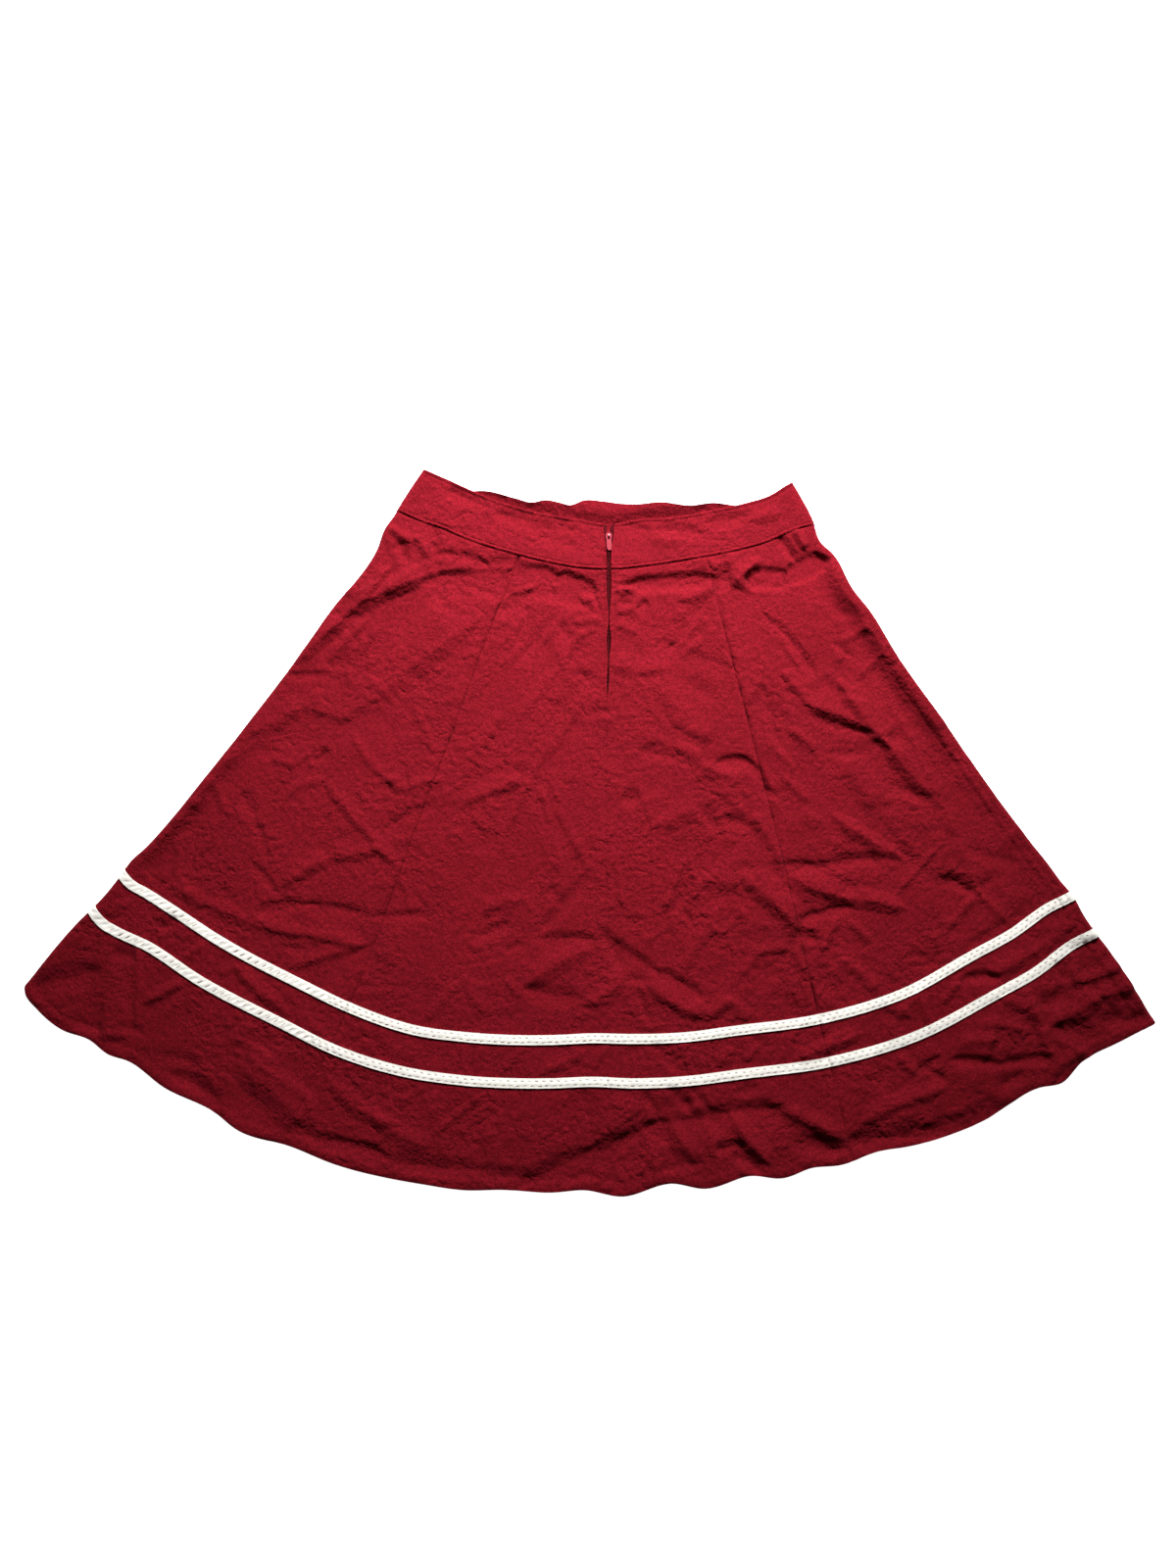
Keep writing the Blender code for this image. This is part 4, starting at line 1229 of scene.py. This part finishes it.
class SKIRT_OT_trims(bpy.types.Operator):
    """Makes the two trims, dented by their stitches"""

    bl_idname = "skirt.trims"
    bl_label = "Trims"

    def execute(self, context):
        settings, cloth = context.scene.skirt_trim, context.scene.skirt_cloth
        tape = finish_named("cream_weave", tape_finish, tuple(settings.colour), 0.7)
        for name, seed in TRIMS:
            left, right = (
                grid(middle_line, partial(side_inset, side=side), side, partial(trim_rows, name=name), COLUMNS["trim"])
                for _, side in BOTH_SIDES
            )
            angle, roll, radius = (np.concatenate([a[:, :0:-1], b], axis=1) for a, b in zip(left, right))
            middle = read(TRIM, name, angle)
            along, across = np.radians(angle) * middle, radius - middle
            puff = height(angle, radius)
            top = puff + self.crown_and_dents(angle, along, across, seed, settings.dent)
            upper = layer(top, angle, roll, radius, 0.5 + settings.wall, cloth.wall)
            lower = layer(puff, angle, roll, radius, 0.35, cloth.wall)
            piece = shell(f"trim_{name}_tape", lower, upper, np.stack([along, across], axis=-1), tape)
            add_to_skirt(piece, "cream_tape", f"trim_{name}")
        return {"FINISHED"}

    @staticmethod
    def crown_and_dents(angle, along, across, seed, dent):
        """The tape is highest along its middle. Its stitches dent it at even distances along it: one row of large
        slanting dents at the left, and two rows of small ones beyond."""
        wander = 0.6 * ripple(along, across, 14, seed)
        small = bump((along + wander) % SMALL_DENTS - SMALL_DENTS / 2, 0.9)
        small = small * sum(bump(across + row - wander, 1.1) for row in (-DENT_ROWS, DENT_ROWS))
        slanting = (along + 0.8 * across) % LARGE_DENTS - LARGE_DENTS / 2
        large = 1.2 * bump(slanting, 1.3) * bump(across - wander, 3.0)
        two_rows = smooth((angle - TRIM_ROWS_FROM) / 1.5)
        crown = 0.35 * (1 - (across / 5) ** 2) + 0.15 * ripple(along, across, 3.5, seed + 5)
        return crown - dent * (small * two_rows + large * (1 - two_rows))


class SKIRT_OT_zip(bpy.types.Operator):
    """Gives the zip its finishes and its coil"""

    bl_idname = "skirt.zip"
    bl_label = "Zip"

    def execute(self, context):
        settings, cloth = context.scene.skirt_zip, context.scene.skirt_cloth
        # The zip's tapes carry painted shade: their colour is darkened to stand for the shade in the channel between
        # the lips
        tape = finish_named("zip_weave", tape_finish, tuple(settings.tape), 0.8, 0.8, 0.03)
        enamel = finish_named("enamel_coat", enamel_finish, tuple(settings.enamel))
        finishes = {"zip_tape_left": tape, "zip_tape_right": tape, "zip_slider": enamel, "zip_pull": enamel}
        for name, finish in finishes.items():
            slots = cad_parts[name].data.materials
            slots.clear()
            slots.append(finish)
        start = zip_start()
        radius = np.arange(start + PULL_DROP + 5.5, start + ZIP_LENGTH - 1, settings.pitch)
        angle = read(SEAMS, "centre", radius)
        centre, along, up = stitch_row(angle, radius, -COIL_DEPTH, cloth.wall)
        # The coil shares the tapes' darkened colour, which is painted shade in the channel
        coil = finish_named("coil_weave", tape_finish, tuple(settings.tape), 0.5, 0.6, 0.05)
        piece = capsules("zip_coil_turns", centre, np.cross(along, up), up, COIL_WIDTH, 1.0, coil)
        add_to_skirt(piece, "zip_coil", "zip_chain")
        return {"FINISHED"}


class SKIRT_OT_stitching(bpy.types.Operator):
    """Sews the hem, the waistband's edges and the zip's lips"""

    bl_idname = "skirt.stitching"
    bl_label = "Stitching"

    def execute(self, context):
        cloth = context.scene.skirt_cloth
        thread = finish_named("red_thread", tape_finish, tuple(0.8 * c for c in cloth.colour), 0.3, 0.7, 0.05)
        pitch = cloth.stitch * 1.25
        angle = np.arange(-36.2, 33.0, degrees_of(pitch, 950))
        rows = [(angle, read(HEM, "radius", angle) - HEM_STITCHES, -SUNK)]
        for low, high in ((-37.8, -1.8), (1.8, 36.8)):
            angle = np.arange(low, high, degrees_of(pitch, 300))
            rows.append((angle, read(BAND, "back_top", angle) + BAND_STITCHES, BAND_EXTRA - 0.1))
        start = zip_start()
        radius = np.arange(start + 6, start + ZIP_LENGTH + 4, pitch)
        on_band = np.where(radius < start + BAND_DEPTH, BAND_EXTRA, 0.0)
        beside = read(LIPS, "half_gap", radius - start) + LIP_STITCHES
        for _, side in BOTH_SIDES:
            angle = read(SEAMS, "centre", radius) + side * degrees_of(beside, radius)
            rows.append((angle, radius, on_band - SUNK))
        parts = [stitch_row(angle, radius, raised, cloth.wall) for angle, radius, raised in rows]
        centre, along, up = (np.concatenate(part) for part in zip(*parts))
        add_to_skirt(capsules("stitching", centre, along, up, cloth.stitch, 0.6, thread), "red_twill")
        self.sew_trims(cloth, context.scene.skirt_trim)
        return {"FINISHED"}

    @staticmethod
    def sew_trims(cloth, trim):
        """One row of large slanting stitches at the left of each trim, and two rows of small ones beyond it."""
        sewn = {}
        for name, seed in TRIMS:
            end = side_inset(read(TRIM, name, np.full(1, 33.0)), 1)[0] - 0.3
            for first, last, across, pitch, length, slant in (
                (-34.5, TRIM_ROWS_FROM, 0.0, trim.large_pitch, 5.0, 55),
                (TRIM_ROWS_FROM, end, -2.0, trim.small_pitch, 3.4, -6),
                (TRIM_ROWS_FROM + 0.2, end, 1.9, trim.small_pitch, 3.8, 8),
            ):
                angle = np.arange(first, last, degrees_of(pitch, 920))
                wander = ripple(60 * angle, 0 * angle + 40 * across, 9, seed)
                radius = read(TRIM, name, angle) + across + 0.5 * wander
                centre, along, up = stitch_row(angle + 0.05 * wander, radius, 0.62 + trim.wall, cloth.wall)
                turn = np.radians(slant)
                along = along * np.cos(turn) + np.cross(up, along) * np.sin(turn)
                sewn.setdefault(length, []).append((centre, along, up))
        thread = finish_named("cream_thread", tape_finish, tuple(0.5 * c for c in trim.colour), 0.3, 0.7, 0.1)
        for number, (length, parts) in enumerate(sorted(sewn.items())):
            centre, along, up = (np.concatenate(part) for part in zip(*parts))
            add_to_skirt(capsules(f"trim_stitching_{number}", centre, along, up, length, 1.5, thread), "cream_tape")


class SKIRT_OT_stage(bpy.types.Operator):
    """Makes the floor, the lights and the camera"""

    bl_idname = "skirt.stage"
    bl_label = "Stage"

    def execute(self, context):
        settings, scene = context.scene.skirt_stage, context.scene
        pale, shader = shader_of("pale_floor", (0.92, 0.92, 0.92), 0.9)
        shader.inputs["Specular IOR Level"].default_value = 0.0
        shader.inputs["Emission Color"].default_value = (1.0, 1.0, 1.0, 1.0)
        shader.inputs["Emission Strength"].default_value = 1.0
        corners = np.array([(u * FLOOR_HALF, v * FLOOR_HALF, -0.05) for u, v in ((-1, -1), (1, -1), (1, 1), (-1, 1))])
        floor = new_mesh("floor", corners, [[0, 1, 2, 3]], None, pale)

        key = bpy.data.lights.new("key", "AREA")
        key.energy, key.shape, key.size, key.size_y = settings.key_power, "RECTANGLE", 0.9, 0.35
        lamp = bpy.data.objects.new("key", key)
        lamp.location = settings.key_place
        key.spread = settings.key_spread
        lamp.rotation_euler = (Vector(settings.key_target) - lamp.location).to_track_quat("-Z", "Y").to_euler()
        scene.collection.objects.link(lamp)

        world = bpy.data.worlds.new("studio")
        world.use_nodes = True
        world.node_tree.nodes["Background"].inputs["Color"].default_value = (1.0, 1.0, 1.0, 1.0)
        world.node_tree.nodes["Background"].inputs["Strength"].default_value = settings.air
        scene.world = world

        lens = bpy.data.cameras.new("camera")
        lens.sensor_fit, lens.sensor_height, lens.lens = "VERTICAL", 36.0, settings.lens
        eye = bpy.data.objects.new("camera", lens)
        eye.location = settings.eye
        eye.rotation_euler = (Vector(settings.target) - eye.location).to_track_quat("-Z", "Y").to_euler()
        scene.collection.objects.link(eye)
        scene.camera = eye
        scene.view_settings.view_transform = "Standard"
        return {"FINISHED"}


OPERATORS = (
    SKIRT_OT_back_gores,
    SKIRT_OT_waistband,
    SKIRT_OT_front,
    SKIRT_OT_trims,
    SKIRT_OT_zip,
    SKIRT_OT_stitching,
    SKIRT_OT_stage,
)
GROUPS = {
    "skirt_cloth": ClothSettings,
    "skirt_trim": TrimSettings,
    "skirt_zip": ZipSettings,
    "skirt_stage": StageSettings,
}


class SKIRT_PT_panel(bpy.types.Panel):
    """Lists the skirt's pieces"""

    bl_idname = "SKIRT_PT_panel"
    bl_label = "Skirt"
    bl_space_type = "VIEW_3D"
    bl_region_type = "UI"
    bl_category = "Skirt"

    def draw(self, context):
        for name, group in GROUPS.items():
            box = self.layout.box()
            box.label(text=group.__doc__.strip())
            for value in group.__annotations__:
                box.prop(getattr(context.scene, name), value)
        for operator in OPERATORS:
            self.layout.operator(operator.bl_idname)


def register():
    for kind in (*GROUPS.values(), *OPERATORS, SKIRT_PT_panel):
        bpy.utils.register_class(kind)
    for name, group in GROUPS.items():
        setattr(bpy.types.Scene, name, bpy.props.PointerProperty(type=group))


def unregister():
    for name in GROUPS:
        delattr(bpy.types.Scene, name)
    for kind in (SKIRT_PT_panel, *OPERATORS, *reversed(GROUPS.values())):
        bpy.utils.unregister_class(kind)


def main():
    register()
    for operator in OPERATORS:
        group, name = operator.bl_idname.split(".")
        getattr(getattr(bpy.ops, group), name)()
    bpy.context.view_layer.update()


if __name__ == "__main__":
    main()
